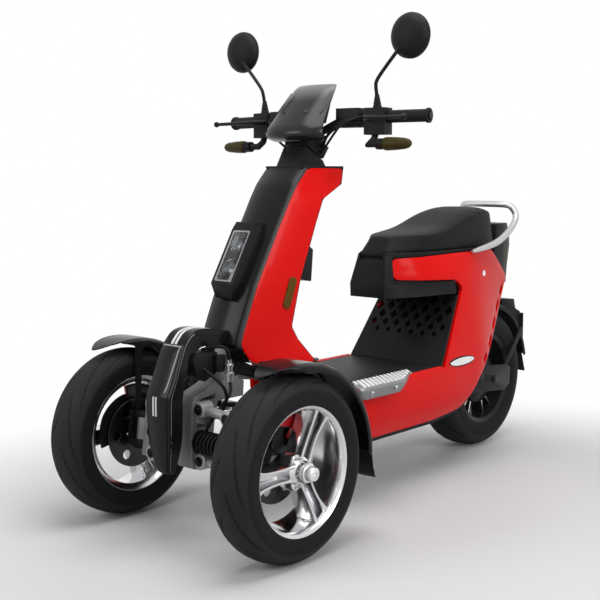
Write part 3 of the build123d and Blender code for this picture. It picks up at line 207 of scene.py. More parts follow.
def softened(node, finish, body, slot, width, segments=2):
    """The solid of a node with its edges rounded as a casting's or a moulding's are."""
    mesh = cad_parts[node].data.copy()
    shell = bmesh.new()
    shell.from_mesh(mesh)
    bmesh.ops.remove_doubles(shell, verts=shell.verts, dist=1e-5)
    bmesh.ops.dissolve_limit(shell, angle_limit=math.radians(1), verts=shell.verts, edges=shell.edges)
    shell.to_mesh(mesh)
    shell.free()
    piece = settled(placed(node + "_finished", mesh, finish), rounded(width, segments), sharp=32)
    return mounted(piece, body, slot, node)


black_metal = Finish("black_metal", (0.007, 0.007, 0.008), 0.34, {"Specular IOR Level": 0.12})
black_metal.surfaced((0.010, 0.010, 0.011), 0.2, 14, 900, 0.0004)
black_plastic = Finish("black_plastic", (0.008, 0.008, 0.009), 0.46, {"Specular IOR Level": 0.08})
black_plastic.surfaced((0.015, 0.015, 0.016), 0.14, 11, 1500, 0.0005)

softened("main_frame", black_metal, "frame", "black_metal", 0.8)
softened("battery_pack", black_plastic, "frame", "black_plastic", 5)
softened("belly_pan", black_plastic, "frame", "black_plastic", 3)


# Front carrier: an alloy casting under the head tube, open in its middle. Round tubes on rubber bushes
# join it to the two uprights, and a damper with a coil spring lies across between them.
def lathe(name, outline, centre, axis, finish, steps=64, sharp=35):
    """Round piece: an (along, radius) outline turned about an axis through a centre."""
    along = Vector(axis).normalized()
    across = along.orthogonal().normalized()
    points = []
    for step in range(steps):
        arm = Matrix.Rotation(math.tau * step / steps, 3, along) @ across
        points += [Vector(centre) + along * reach + arm * radius for reach, radius in outline]
    count = len(outline)
    faces = []
    for step in range(steps):
        here, there = step * count, (step + 1) % steps * count
        faces += [(here + k, here + k + 1, there + k + 1, there + k) for k in range(count - 1)]
    return made(name, points, faces, finish, sharp)


def recipe(name, inputs):
    """Geometry Nodes tree with named inputs, and a function that adds its nodes."""
    tree = bpy.data.node_groups.new(name, "GeometryNodeTree")
    tree.interface.new_socket("Geometry", in_out="INPUT", socket_type="NodeSocketGeometry")
    for label, kind in inputs.items():
        tree.interface.new_socket(label, in_out="INPUT", socket_type="NodeSocket" + kind)
    tree.interface.new_socket("Geometry", in_out="OUTPUT", socket_type="NodeSocketGeometry")
    entry = tree.nodes.new("NodeGroupInput")

    def add(kind, settings=(), sockets=(), output=0):
        node = tree.nodes.new(kind)
        for label, setting in dict(settings).items():
            setattr(node, label, setting)
        for label, value in dict(sockets).items():
            if isinstance(value, bpy.types.NodeSocket):
                tree.links.new(value, node.inputs[label])
            else:
                node.inputs[label].default_value = value
        return node.outputs[output] if node.outputs else None

    return tree, entry.outputs, add


def worked(name, tree, mesh, values):
    """Plain mesh piece that a tree makes from a carrier mesh and its named values."""
    piece = placed(name, mesh)
    modifier = piece.modifiers.new(name, "NODES")
    modifier.node_group = tree
    for item in tree.interface.items_tree:
        if item.in_out == "INPUT" and item.name in values:
            modifier[item.identifier] = values[item.name]
    return baked(piece, 40)


COIL_INPUTS = dict.fromkeys(("Turns", "Coil Radius", "Wire Radius", "Length"), "Float") | {"Finish": "Material"}
coil_tree, coil_in, coil_add = recipe("coil", COIL_INPUTS)
coil_sizes = {"Rotations": "Turns", "Start Radius": "Coil Radius", "End Radius": "Coil Radius", "Height": "Length"}
coil_links = {socket: coil_in[label] for socket, label in coil_sizes.items()}
coil_line = coil_add("GeometryNodeCurveSpiral", (), {"Resolution": 28, **coil_links})
coil_wire = coil_add(
    "GeometryNodeCurvePrimitiveCircle", {"mode": "RADIUS"}, {"Resolution": 10, "Radius": coil_in["Wire Radius"]}
)
coil_mesh = coil_add("GeometryNodeCurveToMesh", (), {"Curve": coil_line, "Profile Curve": coil_wire, "Fill Caps": True})
coil_whole = coil_add("GeometryNodeRealizeInstances", (), {"Geometry": coil_mesh})
coil_done = coil_add("GeometryNodeSetMaterial", (), {"Geometry": coil_whole, "Material": coil_in["Finish"]})
coil_add("NodeGroupOutput", (), {"Geometry": coil_done})


def coil(name, start, end, radius, wire, turns, finish):
    """Spring wound about the line between two points."""
    start, end = Vector(start) * 0.001, Vector(end) * 0.001
    values = {"Turns": float(turns), "Coil Radius": radius * 0.001, "Wire Radius": wire * 0.001}
    values |= {"Length": (end - start).length, "Finish": finish.material}
    piece = worked(name, coil_tree, bpy.data.meshes.new(name), values)
    turn = (end - start).to_track_quat("Z", "Y").to_matrix().to_4x4()
    piece.data.transform(Matrix.Translation(start) @ turn)
    return piece


grey_casting = Finish("grey_casting", (0.17, 0.17, 0.175), 0.5, {"Metallic": 0.4})
grey_casting.surfaced((0.20, 0.20, 0.205), 0.2, 18, 700, 0.0008)
light_tube = Finish("light_tube", (0.34, 0.34, 0.35), 0.42, {"Metallic": 0.5})
light_tube.surfaced((0.38, 0.38, 0.39), 0.16, 20, 800, 0.0003)
steel = Finish("steel", (0.55, 0.55, 0.56), 0.3, {"Metallic": 1.0}).surfaced((0.42, 0.42, 0.43), 0.2, 30, 1200, 0.0002)

softened("front_carrier", grey_casting, "frame", "grey_casting", 5, 3)
softened("uprights", grey_casting, "frame", "grey_casting", 4, 3)

ARM_X, ARM_IN_Y, ARM_OUT_Y = 706, 44, 140
ARMS = (
    # height at the carrier, height at the upright, tube radius
    (343, 333, 12.5), (210, 201, 14),
)
ARM_BUSH = [(-21, 0), (-21, 13), (21, 13), (21, 8), (26, 7), (26, 0)]
arm_parts = []
for side in (1, -1):
    for z_in, z_out, radius in ARMS:
        start, end = Vector((ARM_X, side * ARM_IN_Y, z_in)), Vector((ARM_X, side * ARM_OUT_Y, z_out))
        span, flare = (end - start).length, radius + 2
        bar = [(-16, 0), (-16, flare), (18, radius), (span - 18, radius), (span + 14, flare), (span + 14, 0)]
        arm_parts.append(lathe("arm", bar, start, end - start, light_tube, 32))
        eye = [(-20, 8), (-20, radius + 5), (-17, radius + 8), (17, radius + 8), (20, radius + 5), (20, 8)]
        for point in (start, end):
            arm_parts.append(lathe("arm_eye", eye, point, (1, 0, 0), light_tube, 32))
            arm_parts.append(lathe("arm_bush", ARM_BUSH, point, (1, 0, 0), black_metal, 24))


def joined(name, parts):
    """One piece from several, with their finishes kept."""
    shell = bmesh.new()
    mesh = bpy.data.meshes.new(name)
    finishes = []
    for part in parts:
        for finish in part.data.materials:
            if finish not in finishes:
                finishes.append(finish)
        start = len(shell.faces)
        shell.from_mesh(part.data)
        shell.faces.ensure_lookup_table()
        for face in shell.faces[start:]:
            face.material_index = finishes.index(part.data.materials[face.material_index])
    shell.to_mesh(mesh)
    shell.free()
    for finish in finishes:
        mesh.materials.append(finish)
    for part in parts:
        bpy.data.objects.remove(part)
    return placed(name, mesh)


mounted(joined("tilt_arm_tubes", arm_parts), "frame", "grey_casting", "tilt_arms")
softened("tilt_damper", black_metal, "frame", "black_metal", 1.5)
tilt_coil = coil("tilt_coil", (706, 37, 256), (706, 124, 256), 26, 4.6, 6.5, black_metal)
mounted(tilt_coil, "frame", "black_metal", "tilt_spring")


# Steering: forged knuckles on king pins carry the axles, the mudguards and the brakes, whose calipers are
# red outside and black inside. A short relay spindle under the carrier moves them through two tie rods.
red_caliper = Finish("red_caliper", (0.50, 0.006, 0.012), 0.32, {"Coat Weight": 0.4})
red_caliper.surfaced(None, 0.1, 20, 900, 0.0003)
caliper_y = red_caliper.add("ShaderNodeSeparateXYZ", (), {"Vector": red_caliper.place}, "Y")
outer_half = abs(caliper_y) > 0.2695
red_caliper.feed("Base Color", red_caliper.mix(outer_half, (0.007, 0.007, 0.008, 1), (0.45, 0.005, 0.010, 1)))
red_caliper.feed("Coat Weight", outer_half * 0.4)
brake_steel = Finish("brake_steel", (0.10, 0.10, 0.105), 0.34, {"Metallic": 1.0})
ring_marks = brake_steel.texture("Noise", 60.0, Detail=6.0, Roughness=0.7)
brake_steel.feed("Base Color", brake_steel.mix(ring_marks, (0.07, 0.07, 0.073, 1), (0.03, 0.03, 0.032, 1)))
brake_steel.feed("Roughness", 0.24 + ring_marks * 0.24)

for hand in ("left", "right"):
    softened(f"knuckle_{hand}", black_metal, f"knuckle_{hand}", "black_metal", 2)
    softened(f"caliper_{hand}", red_caliper, f"knuckle_{hand}", "red_caliper", 4, 3)
    softened(f"brake_disc_{hand}", brake_steel, f"wheel_front_{hand}", "steel", 0.5, 1)
    softened(f"tie_rod_{hand}", steel, f"tie_rod_{hand}", "steel", 0.8)
softened("steering_relay", black_metal, "relay", "black_metal", 1.5)


# Front wheels: cast alloy rims, polished bright, with three spokes of two blades each around a lobed
# hub, small socket bolts and a large nut. A dust plate and a brake arc stand still behind each wheel.
def flowing(points, steps):
    """Smooth line through points, with a number of steps between each two."""
    points = [Vector(point) for point in points]
    ends = [points[0] * 2 - points[1], *points, points[-1] * 2 - points[-2]]
    line = []
    for before, here, there, after in zip(ends, ends[1:], ends[2:], ends[3:]):
        for step in range(steps):
            t = step / steps
            bend = (before * 2 - here * 5 + there * 4 - after) * t**2 + (here * 3 - before - there * 3 + after) * t**3
            line.append((here * 2 + (there - before) * t + bend) * 0.5)
    return [*line, points[-1]]


def skin(name, rings, finish, closed=True, caps=True, sharp=40, facing=None):
    """Surface over rings that have the same number of points."""
    count = len(rings[0])
    points = [point for ring in rings for point in ring]
    faces = []
    for k in range(len(rings) - 1):
        for j in range(count if closed else count - 1):
            a, b = k * count + j, k * count + (j + 1) % count
            faces.append((a, b, b + count, a + count))
    if closed and caps:
        faces += [tuple(range(count)), tuple(range(len(points) - count, len(points)))]
    return made(name, points, faces, finish, sharp, facing)


place_tree, place_in, place_add = recipe("placed", {"Shape": "Object", "Finish": "Material"})
place_turn = place_add("GeometryNodeInputNamedAttribute", {"data_type": "FLOAT_VECTOR"}, {"Name": "turn"})
place_angles = place_add("FunctionNodeEulerToRotation", (), {"Euler": place_turn})
place_shape = place_add("GeometryNodeObjectInfo", (), {"Object": place_in["Shape"]}, "Geometry")
place_sockets = {"Points": place_in["Geometry"], "Instance": place_shape, "Rotation": place_angles}
place_copies = place_add("GeometryNodeInstanceOnPoints", (), place_sockets)
place_whole = place_add("GeometryNodeRealizeInstances", (), {"Geometry": place_copies})
place_done = place_add("GeometryNodeSetMaterial", (), {"Geometry": place_whole, "Material": place_in["Finish"]})
place_add("NodeGroupOutput", (), {"Geometry": place_done})


def copies(name, shape, places, finish):
    """A small shape, built about the origin and standing on Z, set at each (point, direction)."""
    mesh = bpy.data.meshes.new(name)
    mesh.from_pydata([Vector(point) * 0.001 for point, direction in places], [], [])
    turn = mesh.attributes.new("turn", "FLOAT_VECTOR", "POINT")
    for k, (point, direction) in enumerate(places):
        turn.data[k].vector = Vector(direction).to_track_quat("Z", "Y").to_euler()
    piece = worked(name, place_tree, mesh, {"Shape": shape, "Finish": finish.material})
    bpy.data.objects.remove(shape)
    return piece


def bolt_head(radius, height, finish):
    """Domed round head with a socket."""
    outline = [
        (-1, radius), (height * 0.6, radius), (height, radius * 0.75), (height, radius * 0.5),
        (height * 0.4, radius * 0.45), (height * 0.4, 0),
    ]
    return lathe("bolt_head", outline, (0, 0, 0), (0, 0, 1), finish, 14)


wheel_silver = Finish("wheel_silver", (0.70, 0.70, 0.71), 0.16, {"Metallic": 1.0})
wheel_silver.surfaced((0.62, 0.62, 0.63), 0.12, 26, 500, 0.0001)
nut_silver = Finish("nut_silver", (0.80, 0.80, 0.80), 0.3, {"Metallic": 0.9})
nut_silver.surfaced((0.68, 0.68, 0.69), 0.16, 40, 900, 0.0002)

FRONT_AXLE = Vector((673.5, 301.7, 229.5))
RIM_LIP, RIM_BEAD, RIM_BED = 163.4, 151.7, 141.0
SPOKES = (0, 120, 240)
BLADE = (
    # radius, offset from the spoke's middle, half width in front, half width behind, front face, back face
    (20, 17, 5.0, 6.5, 45, -6),
    (42, 16, 3.8, 5.0, 43, -10),
    (66, 15, 3.2, 4.2, 41, -13),
    (92, 15.5, 3.2, 4.2, 40.5, -14),
    (118, 17.5, 3.6, 4.8, 42, -14),
    (136, 20, 4.6, 6.0, 44, -14),
    (148, 23, 6.0, 8.0, 46, -14),
)
HALF_RIM = [
    (-54, 158), (-54, RIM_LIP - 1.2), (-53, RIM_LIP), (-51, RIM_LIP), (-49.8, RIM_LIP - 1.5), (-46.6, RIM_BEAD),
]
RIM_DISH = [
    (52.6, 155.5), (49.5, 151.6), (45, 149.2), (34, 146.5), (18, 143.8), (0, 142), (-24, RIM_BED), (-43, RIM_BED),
]
RIM = [*HALF_RIM, *[(-w, r) for w, r in reversed(HALF_RIM)], *RIM_DISH, (-50, 150), HALF_RIM[0]]
HUB = [
    (-37.7, 12.2), (-37.7, 30), (-20, 32), (6, 34), (12, 36), (36, 36), (41, 33), (46, 27), (58, 25.5), (62, 24),
    (64, 12.2),
]
HUB_NUT = [(63, 0), (63, 23), (66, 23), (67, 19), (80, 18), (84.8, 16), (86.8, 12), (86.8, 5), (83, 4.5), (83, 0)]
HUB_LOBE = [(2, 0), (2, 17), (34, 17), (40, 15), (42, 11), (42, 0)]
SPOKE_WEB = ((28, 15, 14), (60, 11, 8), (100, 11, 4), (144, 17, 2))  # radius, half width, front face
DUST_LOOP = [(46, -16), (112, -14), (118, 30), (112, 76), (96, 96), (46, 100)]  # radius, degrees
DUST_POSTS = (
    # radius, degrees, post radius, height
    (62, 14, 11, 8), (88, 2, 8, 6), (96, 40, 15, 9), (66, 62, 10, 9), (92, 74, 7, 8), (104, 20, 6, 7),
)
HANDS = ((1, "left"), (-1, "right"))
for side, hand in HANDS:
    def wheel_point(width, radius, angle, aside=0.0, side=side):
        """Point of the wheel: out along the axle, out along an angle and aside from it."""
        run, rise = math.cos(angle), math.sin(angle)
        x, z = FRONT_AXLE.x + radius * run - aside * rise, FRONT_AXLE.z + radius * rise + aside * run
        return (x, side * (FRONT_AXLE.y + width), z)

    hub, axle, wheel_body, knuckle = wheel_point(0, 0, 0), (0, side, 0), f"wheel_front_{hand}", f"knuckle_{hand}"
    wheel = [lathe("rim", RIM, hub, axle, wheel_silver, 120, 25), lathe("hub", HUB, hub, axle, wheel_silver, 64, 30)]
    wheel.append(lathe("hub_nut", HUB_NUT, hub, axle, nut_silver, 40, 30))
    fronts, backs = flowing([row[:3] for row in BLADE], 4), flowing([row[3:] for row in BLADE], 4)
    for spoke in SPOKES:
        middle = math.radians(spoke)
        for edge in (1, -1):
            rings = []
            for (radius, offset, half_front), (half_back, outer, inner) in zip(fronts, backs):
                corner = ((-half_front, outer), (half_front, outer), (half_back, inner), (-half_back, inner))
                rings.append([wheel_point(w, radius, middle, edge * (offset + v)) for v, w in corner])
            wheel.append(settled(skin("blade", rings, wheel_silver), rounded(1.0, 2, 40), sharp=38))
        web = []
        for radius, half, face in SPOKE_WEB:
            corner = ((-half, face), (half, face), (half, face - 6), (-half, face - 6))
            web.append([wheel_point(w, radius, middle, v) for v, w in corner])
        wheel.append(skin("web", web, wheel_silver))
        lobe = wheel_point(0, 33, middle + math.pi / 3)
        wheel.append(lathe("hub_lobe", HUB_LOBE, lobe, axle, wheel_silver, 32))
    mounted(joined(f"front_rim_{hand}", wheel), wheel_body, "wheel_silver", f"rim_front_{hand}")
    bolts = []
    for spoke in SPOKES:
        for degrees, radius in ((60, 40), (42, 34), (78, 34)):
            bolts.append((wheel_point(41.5, radius, math.radians(spoke + degrees)), axle))
    mounted(copies(f"hub_bolts_{hand}", bolt_head(4.6, 5, steel), bolts, steel), wheel_body, "steel")
    dust_rings = []
    for width in (-30, -26):
        loop = []
        for (r0, a0), (r1, a1) in zip(DUST_LOOP, [*DUST_LOOP[1:], DUST_LOOP[0]]):
            for step in range(8):
                loop.append(wheel_point(width, r0 + (r1 - r0) * step / 8, math.radians(a0 + (a1 - a0) * step / 8)))
        dust_rings.append(loop)
    dust_parts = [skin("dust_plate", dust_rings, black_metal)]
    for radius, degrees, wide, tall in DUST_POSTS:
        post = [(0, wide), (tall - 2, wide), (tall, wide - 2)]
        post += [(tall, wide * 0.55), (tall - 3, wide * 0.5), (tall - 3, 0)]
        at = wheel_point(-26, radius, math.radians(degrees))
        dust_parts.append(lathe("post", post, at, axle, black_metal, 20))
    mounted(joined(f"dust_plate_{hand}", dust_parts), knuckle, "black_metal")
    arc = []
    for degrees in range(78, 133, 3):
        corner = ((98, -34), (98, -25), (134, -25), (134, -34))
        arc.append([wheel_point(w, r, math.radians(degrees)) for r, w in corner])
    brake_arc = settled(skin(f"brake_arc_{hand}", arc, red_caliper), rounded(1.5), sharp=40)
    mounted(brake_arc, knuckle, "red_caliper")
    disc_bolts = [(wheel_point(-42.2, 30, math.radians(60 * k)), (0, -side, 0)) for k in range(6)]
    mounted(copies(f"disc_bolts_{hand}", bolt_head(4, 3, steel), disc_bolts, steel), wheel_body, "steel")


# Tyres: black rubber, tubeless, with a round crown and smooth sides. Long curved grooves sweep from near
# the middle of the tread to its shoulders.
tyre_rubber = Finish("tyre_rubber", (0.011, 0.011, 0.012), 0.68, {"Specular IOR Level": 0.14})
groove_shade = tyre_rubber.add("ShaderNodeAttribute", {"attribute_name": "groove_shade"}, (), "Fac")
dust = tyre_rubber.noise(22, 5.0)
flank = tyre_rubber.add("ShaderNodeAttribute", {"attribute_name": "flank"}, (), "Fac")
worn_rubber = tyre_rubber.mix(dust, (0.013, 0.013, 0.014, 1), (0.020, 0.020, 0.021, 1))
worn_rubber = tyre_rubber.mix(flank, worn_rubber, (0.006, 0.006, 0.007, 1))
# Painted shade: the sunk grooves are coloured nearly black, darker than the tread around them.
tyre_rubber.feed("Base Color", tyre_rubber.mix(groove_shade, worn_rubber, (0.004, 0.004, 0.004, 1)))
tyre_rubber.feed("Roughness", 0.62 + dust * 0.18)
tyre_rubber.relief(tyre_rubber.noise(1400), 0.0005)


def tyre(name, centre, section, sweep, finish, steps=600):
    """Turned tyre whose grooves are sunk into its tread; sweep is (count, start, end, turn, half, depth)."""
    line = flowing([(width, radius, 0) for width, radius in section], 6)
    widest = max(point.x for point in line)
    grooves, first, last, twist, half, depth = sweep
    points, sunk, flanks = [], [], []
    for step in range(steps):
        angle = math.tau * step / steps
        for place in line:
            share = abs(place.x) / widest
            mark = 0.0
            if first < share < last and place.y > section[0][1] + 40:
                run = (share - first) / (last - first)
                turn = angle + twist * run**1.5 + (math.pi / grooves if place.x < 0 else 0)
                gap = (turn * grooves / math.tau + 0.5) % 1.0 - 0.5
                slope = 1.5 * twist * run**0.5 * place.y / (widest * (last - first))
                reach = abs(gap) * math.tau / grooves * place.y / math.hypot(1, slope)
                mark = max(0.0, 1 - (reach / half) ** 2) * min(1.0, 6 * run, 5 * (1 - run))
            radius = place.y - depth * mark
            x, z = centre[0] + radius * math.cos(angle), centre[2] + radius * math.sin(angle)
            points.append((x, centre[1] + place.x, z))
            sunk.append(mark)
            flanks.append(min(max((section[0][1] + 50 - place.y) / 5, 0.0), 1.0))
    count = len(line)
    faces = []
    for step in range(steps):
        here, there = step * count, (step + 1) % steps * count
        faces += [(here + k, there + k, there + (k + 1) % count, here + (k + 1) % count) for k in range(count)]
    mesh = bpy.data.meshes.new(name)
    mesh.from_pydata([Vector(point) * 0.001 for point in points], [], faces)
    # The groove share is kept for the finish, which paints the grooves darker as painted shade.
    mesh.attributes.new("groove_shade", "FLOAT", "POINT").data.foreach_set("value", sunk)
    mesh.attributes.new("flank", "FLOAT", "POINT").data.foreach_set("value", flanks)
    shell = bmesh.new()
    shell.from_mesh(mesh)
    bmesh.ops.recalc_face_normals(shell, faces=shell.faces)
    shell.to_mesh(mesh)
    shell.free()
    return placed(name, mesh, finish, 60)


def tyre_section(bead, base, wide, crown):
    """Half round tyre section from bead to bead, as (width, radius)."""
    half = [
        (-bead, base), (-bead - 9.5, base + 7.3), (-wide + 1, base + 22), (-wide, base + 38), (-wide + 3, crown - 25),
        (-wide * 0.78, crown - 11), (-wide * 0.46, crown - 2.6),
    ]
    return [*half, (0, crown), *[(-w, r) for w, r in reversed(half)]]


FRONT_GROOVES = (10, 0.10, 0.96, 0.95, 2.6, 3.2)
FRONT_SECTION = tyre_section(45, 152, 58, 229.5)
for side, hand in HANDS:
    centre = (FRONT_AXLE.x, side * FRONT_AXLE.y, FRONT_AXLE.z)
    tread = tyre(f"front_tread_{hand}", centre, FRONT_SECTION, FRONT_GROOVES, tyre_rubber)
    mounted(tread, f"wheel_front_{hand}", "tyre", f"tyre_front_{hand}")


# Front mudguards: glossy black mouldings that turn with the wheels, each with a beaked front edge, a
# crease along both shoulders and a rubber flap with a bright clip behind.
def plate(name, outline, low, high, finish, edge):
    """Flat piece cut to an (x, z) outline, standing along the vehicle from a low to a high y."""
    count = len(outline)
    points = [(x, y, z) for y in (low, high) for x, z in outline]
    faces = [tuple(range(count)), tuple(range(count, 2 * count))]
    faces += [(k, (k + 1) % count, count + (k + 1) % count, count + k) for k in range(count)]
    return settled(made(name, points, faces, finish), rounded(edge), sharp=35)


black_gloss = Finish("black_gloss", (0.005, 0.005, 0.006), 0.2, {"Specular IOR Level": 0.12})
black_gloss.surfaced((0.011, 0.011, 0.012), 0.1, 9, 500, 0.00015)

GUARD_R, GUARD_HALF = 262.0, 64.0
GUARD_SECTION = (
    # share of the half width, drop from the crown
    (-1.0, 24), (-1.0, 12), (-0.94, 6), (-0.72, 1.2), (-0.68, 0.2), (-0.62, 1.4), (-0.35, 0.4), (0, 0),
    (0.35, 0.4), (0.62, 1.4), (0.68, 0.2), (0.72, 1.2), (0.94, 6), (1.0, 12), (1.0, 24),
)
GUARD_START, GUARD_STEP = 64, 2.66  # degrees round the axle
FLAP = ((411, 262, 52), (411.5, 232, 50), (404, 196, 48), (392, 164, 45), (381, 152, 40))  # x, z, half width
FLAP_CLIP = [(384, 176), (390, 178), (388, 186), (382, 184)]
GUARD_STAY = [
    (666, 262), (704, 262), (694, 320), (690, 470), (706, 486), (646, 484), (634, 474), (668, 462), (674, 320),
]
for side, hand in HANDS:
    middle_y = side * FRONT_AXLE.y
    rings = []
    for step in range(45):
        turn = step * GUARD_STEP
        ring = []
        for share, drop in GUARD_SECTION:
            beak = 15 * abs(share) ** 1.6 * max(0.0, 1 - turn / 30)
            angle = math.radians(GUARD_START + turn + beak)
            tuck = 1 - 0.30 * max(0.0, 1 - turn / 22) ** 2
            radius = GUARD_R - drop * min(1.0, 0.25 + turn / 28)
            x, z = FRONT_AXLE.x + radius * math.cos(angle), FRONT_AXLE.z + radius * math.sin(angle)
            ring.append((x, middle_y + GUARD_HALF * share * tuck, z))
        rings.append(ring)
    guard = skin("guard", rings, black_gloss, closed=False, facing=(-0.3, 0, 1))
    settled(guard, walled(3), smoothed(1), sharp=50)
    rings = [[(x - 3 * abs(s), middle_y + half * s, z) for s in (-1, -0.6, 0, 0.6, 1)] for x, z, half in FLAP]
    flap = skin("flap", rings, black_plastic, closed=False, facing=(-1, 0, 0))
    settled(flap, walled(3.5, 0), rounded(1.2))
    clip = plate("clip", FLAP_CLIP, middle_y + side * 28, middle_y + side * 40, steel, 1)
    stay = plate("stay", GUARD_STAY, *sorted((side * 233.7, side * 238.3)), black_metal, 1)
    whole_guard = joined(f"front_guard_{hand}", [guard, flap, clip, stay])
    mounted(whole_guard, f"knuckle_{hand}", "black_gloss", f"front_mudguard_{hand}")


# Nose cover: a glossy black arch that runs from the leg shield over the carrier and down between the
# wheels, with a raised front plate, pale stripes on its top and front and a grey line on each side that is a painted
# highlight along the edge between front and side.
nose_grey = Finish("nose_grey", (0.30, 0.30, 0.30), 0.4).surfaced((0.24, 0.24, 0.24), 0.1, 40, 900, 0.0001)
stripe_white = Finish("stripe_white", (0.72, 0.72, 0.71), 0.35).surfaced((0.62, 0.62, 0.61), 0.1, 40, 900, 0.0001)

NOSE = (
    # outer x, outer z, inner x, inner z, half width
    (600, 531, 610, 500, 36.5),
    (650, 540, 654, 500, 36.5),
    (700, 547, 700, 500, 37),
    (736, 541, 726, 487, 38),
    (756, 524, 738, 478, 39),
    (768, 506, 746, 466, 40),
    (786, 464, 757, 440, 42),
    (806, 416, 768, 405, 44),
    (819, 392, 773, 380, 44.5),
    (822, 366, 773, 360, 44),
    (821, 320, 773, 318, 42.5),
    (819, 270, 775, 270, 40),
    (813, 228, 779, 228, 32),
    (806, 196, 783, 195, 23),
    (802, 187, 785, 186, 18),
)
NOSE_SECTION = (
    # share of the way from inner to outer face, share of the half width
    (0.0, 0.90), (0.35, 0.95), (0.70, 0.98), (0.90, 1.0), (0.96, 0.985), (1.0, 0.90), (1.0, 0.45), (1.0, 0.0),
)
nose_rows = flowing([(a, b, c) for a, b, c, d, e in NOSE], 4)
nose_rest = flowing([(d, e, 0) for a, b, c, d, e in NOSE], 4)
nose_rings = []
for (outer_x, outer_z, inner_x), (inner_z, half, spare) in zip(nose_rows, nose_rest):
    outer, inner = Vector((outer_x, 0, outer_z)), Vector((inner_x, 0, inner_z))
    half_ring = [inner.lerp(outer, reach) + Vector((0, half * wide, 0)) for reach, wide in NOSE_SECTION]
    nose_rings.append([*half_ring, *[(x, -y, z) for x, y, z in reversed(half_ring[:-1])]])
nose = skin("nose_shell", nose_rings, black_gloss, sharp=28)


def nose_at(share):
    """Outer point, inner point and half width at a share of the nose's length."""
    span = len(nose_rows) - 1
    k = min(int(share * span), span - 1)
    outer = nose_rows[k].lerp(nose_rows[k + 1], share * span - k)
    rest = nose_rest[k].lerp(nose_rest[k + 1], share * span - k)
    return Vector((outer.x, 0, outer.y)), Vector((outer.z, 0, rest.x)), rest.y


def nose_band(name, first, last, middle, half, lift, finish, slope=0.0, share=False):
    """Thin strip laid on the outer face between two shares of the nose's length."""
    rings = []
    for step in range(17):
        outer, inner, wide = nose_at(first + (last - first) * step / 16)
        out = (outer - inner).normalized()
        shift = middle + slope * step / 16
        reach = half * wide if share else half
        corner = ((-1, -0.4), (-1, lift), (1, lift), (1, -0.4))
        rings.append([outer + out * r + Vector((0, shift + s * reach, 0)) for s, r in corner])
    return skin(name, rings, finish, sharp=30)


def nose_edge_highlight(name, first, last, share, wide, finish, side):
    """Thin grey line laid on the side of the nose along its edge with the front, a painted highlight."""
    rings = []
    for step in range(25):
        outer, inner, half = nose_at(first + (last - first) * step / 24)
        ring = []
        for reach, lift in ((share, -1), (share, 0.6), (share + wide, 0.6), (share + wide, -1)):
            point = inner.lerp(outer, reach)
            ring.append((point.x, side * (half * 0.985 + lift), point.z))
        rings.append(ring)
    return skin(name, rings, finish, sharp=30)


PLATE_FROM = 0.352
nose_plate = nose_band("front_plate", PLATE_FROM, 0.985, 0, 0.80, 2.6, black_gloss, share=True)
nose_parts = [nose, settled(nose_plate, rounded(1.2, 2, 40), sharp=38)]
for side in (1, -1):
    nose_parts.append(nose_band("top_stripe", 0.07, PLATE_FROM - 0.012, side * 6.5, 4, 0.5, stripe_white))
    nose_parts.append(nose_band("front_stripe", 0.592, 0.69, side * 5 - 8, 2.6, 3.0, stripe_white))
    # Grey line on each side along the edge with the front: painted highlight.
    nose_parts.append(nose_edge_highlight("side_line", 0.20, 0.93, 0.86, 0.045, nose_grey, side))
nose_parts.append(nose_band("slant_stripe", PLATE_FROM + 0.01, 0.55, 28, 2.0, 3.0, nose_grey, -6))
nose_parts.append(nose_band("plate_edge", PLATE_FROM, PLATE_FROM + 0.008, 0, 0.80, 3.2, nose_grey, share=True))
mounted(joined("nose_arch", nose_parts), "frame", "black_gloss", "nose_cover")


# Leg shield: a glossy black front moulding, a little convex, between two painted red sides. A dark edging
# follows the joint, and the rider's face and the top collar are plain black plastic.
red_coat = {"Specular IOR Level": 0.08, "Coat Weight": 0.05, "Coat Roughness": 0.06}
red_paint = Finish("red_paint", (0.62, 0.005, 0.004), 0.3, red_coat)
flake = red_paint.noise(2600, 1.0)
sheen_drift = red_paint.noise(6, 4.0)
red_paint.feed("Base Color", red_paint.mix(sheen_drift, (0.66, 0.005, 0.004, 1), (0.60, 0.004, 0.003, 1)))
red_paint.feed("Roughness", 0.22 + sheen_drift * 0.08)
red_paint.relief(flake, 0.00005, 0.3)
edging_grey = Finish("edging_grey", (0.016, 0.018, 0.017), 0.32, {"Specular IOR Level": 0.2})
edging_grey.surfaced((0.022, 0.024, 0.023), 0.1, 20, 1200, 0.0002)

SHIELD = (
    # z, front x, rear x, front half width, rear half width
    (430, 575, 362, 78, 126),
    (495, 612, 412, 66, 104),
    (530, 600, 432, 66, 100),
    (647, 549, 399, 66, 100),
    (805, 458, 332, 66, 100),
    (867, 421, 303, 67, 100),
    (907, 394, 222, 68, 98),
    (950, 352, 212, 68, 96),
)


def shield_row(z):
    """Front x, rear x and half widths of the strut at a height."""
    z = min(max(z, SHIELD[0][0]), SHIELD[-1][0] - 0.01)
    k = max(k for k in range(len(SHIELD) - 1) if SHIELD[k][0] <= z)
    t = (z - SHIELD[k][0]) / (SHIELD[k + 1][0] - SHIELD[k][0])
    return [a + (b - a) * t for a, b in zip(SHIELD[k][1:], SHIELD[k + 1][1:])]


def shield_side(x, z):
    """Half width of the strut's side face, with a soft crown."""
    front, rear, half_front, half_rear = shield_row(z)
    share = min(max((front - x) / (front - rear), 0.0), 1.0)
    return half_front + (half_rear - half_front) * share + 3.0 * math.sin(math.pi * share)


def inside(point, loop):
    """Whether a flat point lies in a closed outline."""
    hit = False
    for (ax, ay), (bx, by) in zip(loop, [*loop[1:], loop[0]]):
        if (ay > point[1]) != (by > point[1]) and point[0] < (bx - ax) * (point[1] - ay) / (by - ay) + ax:
            hit = not hit
    return hit


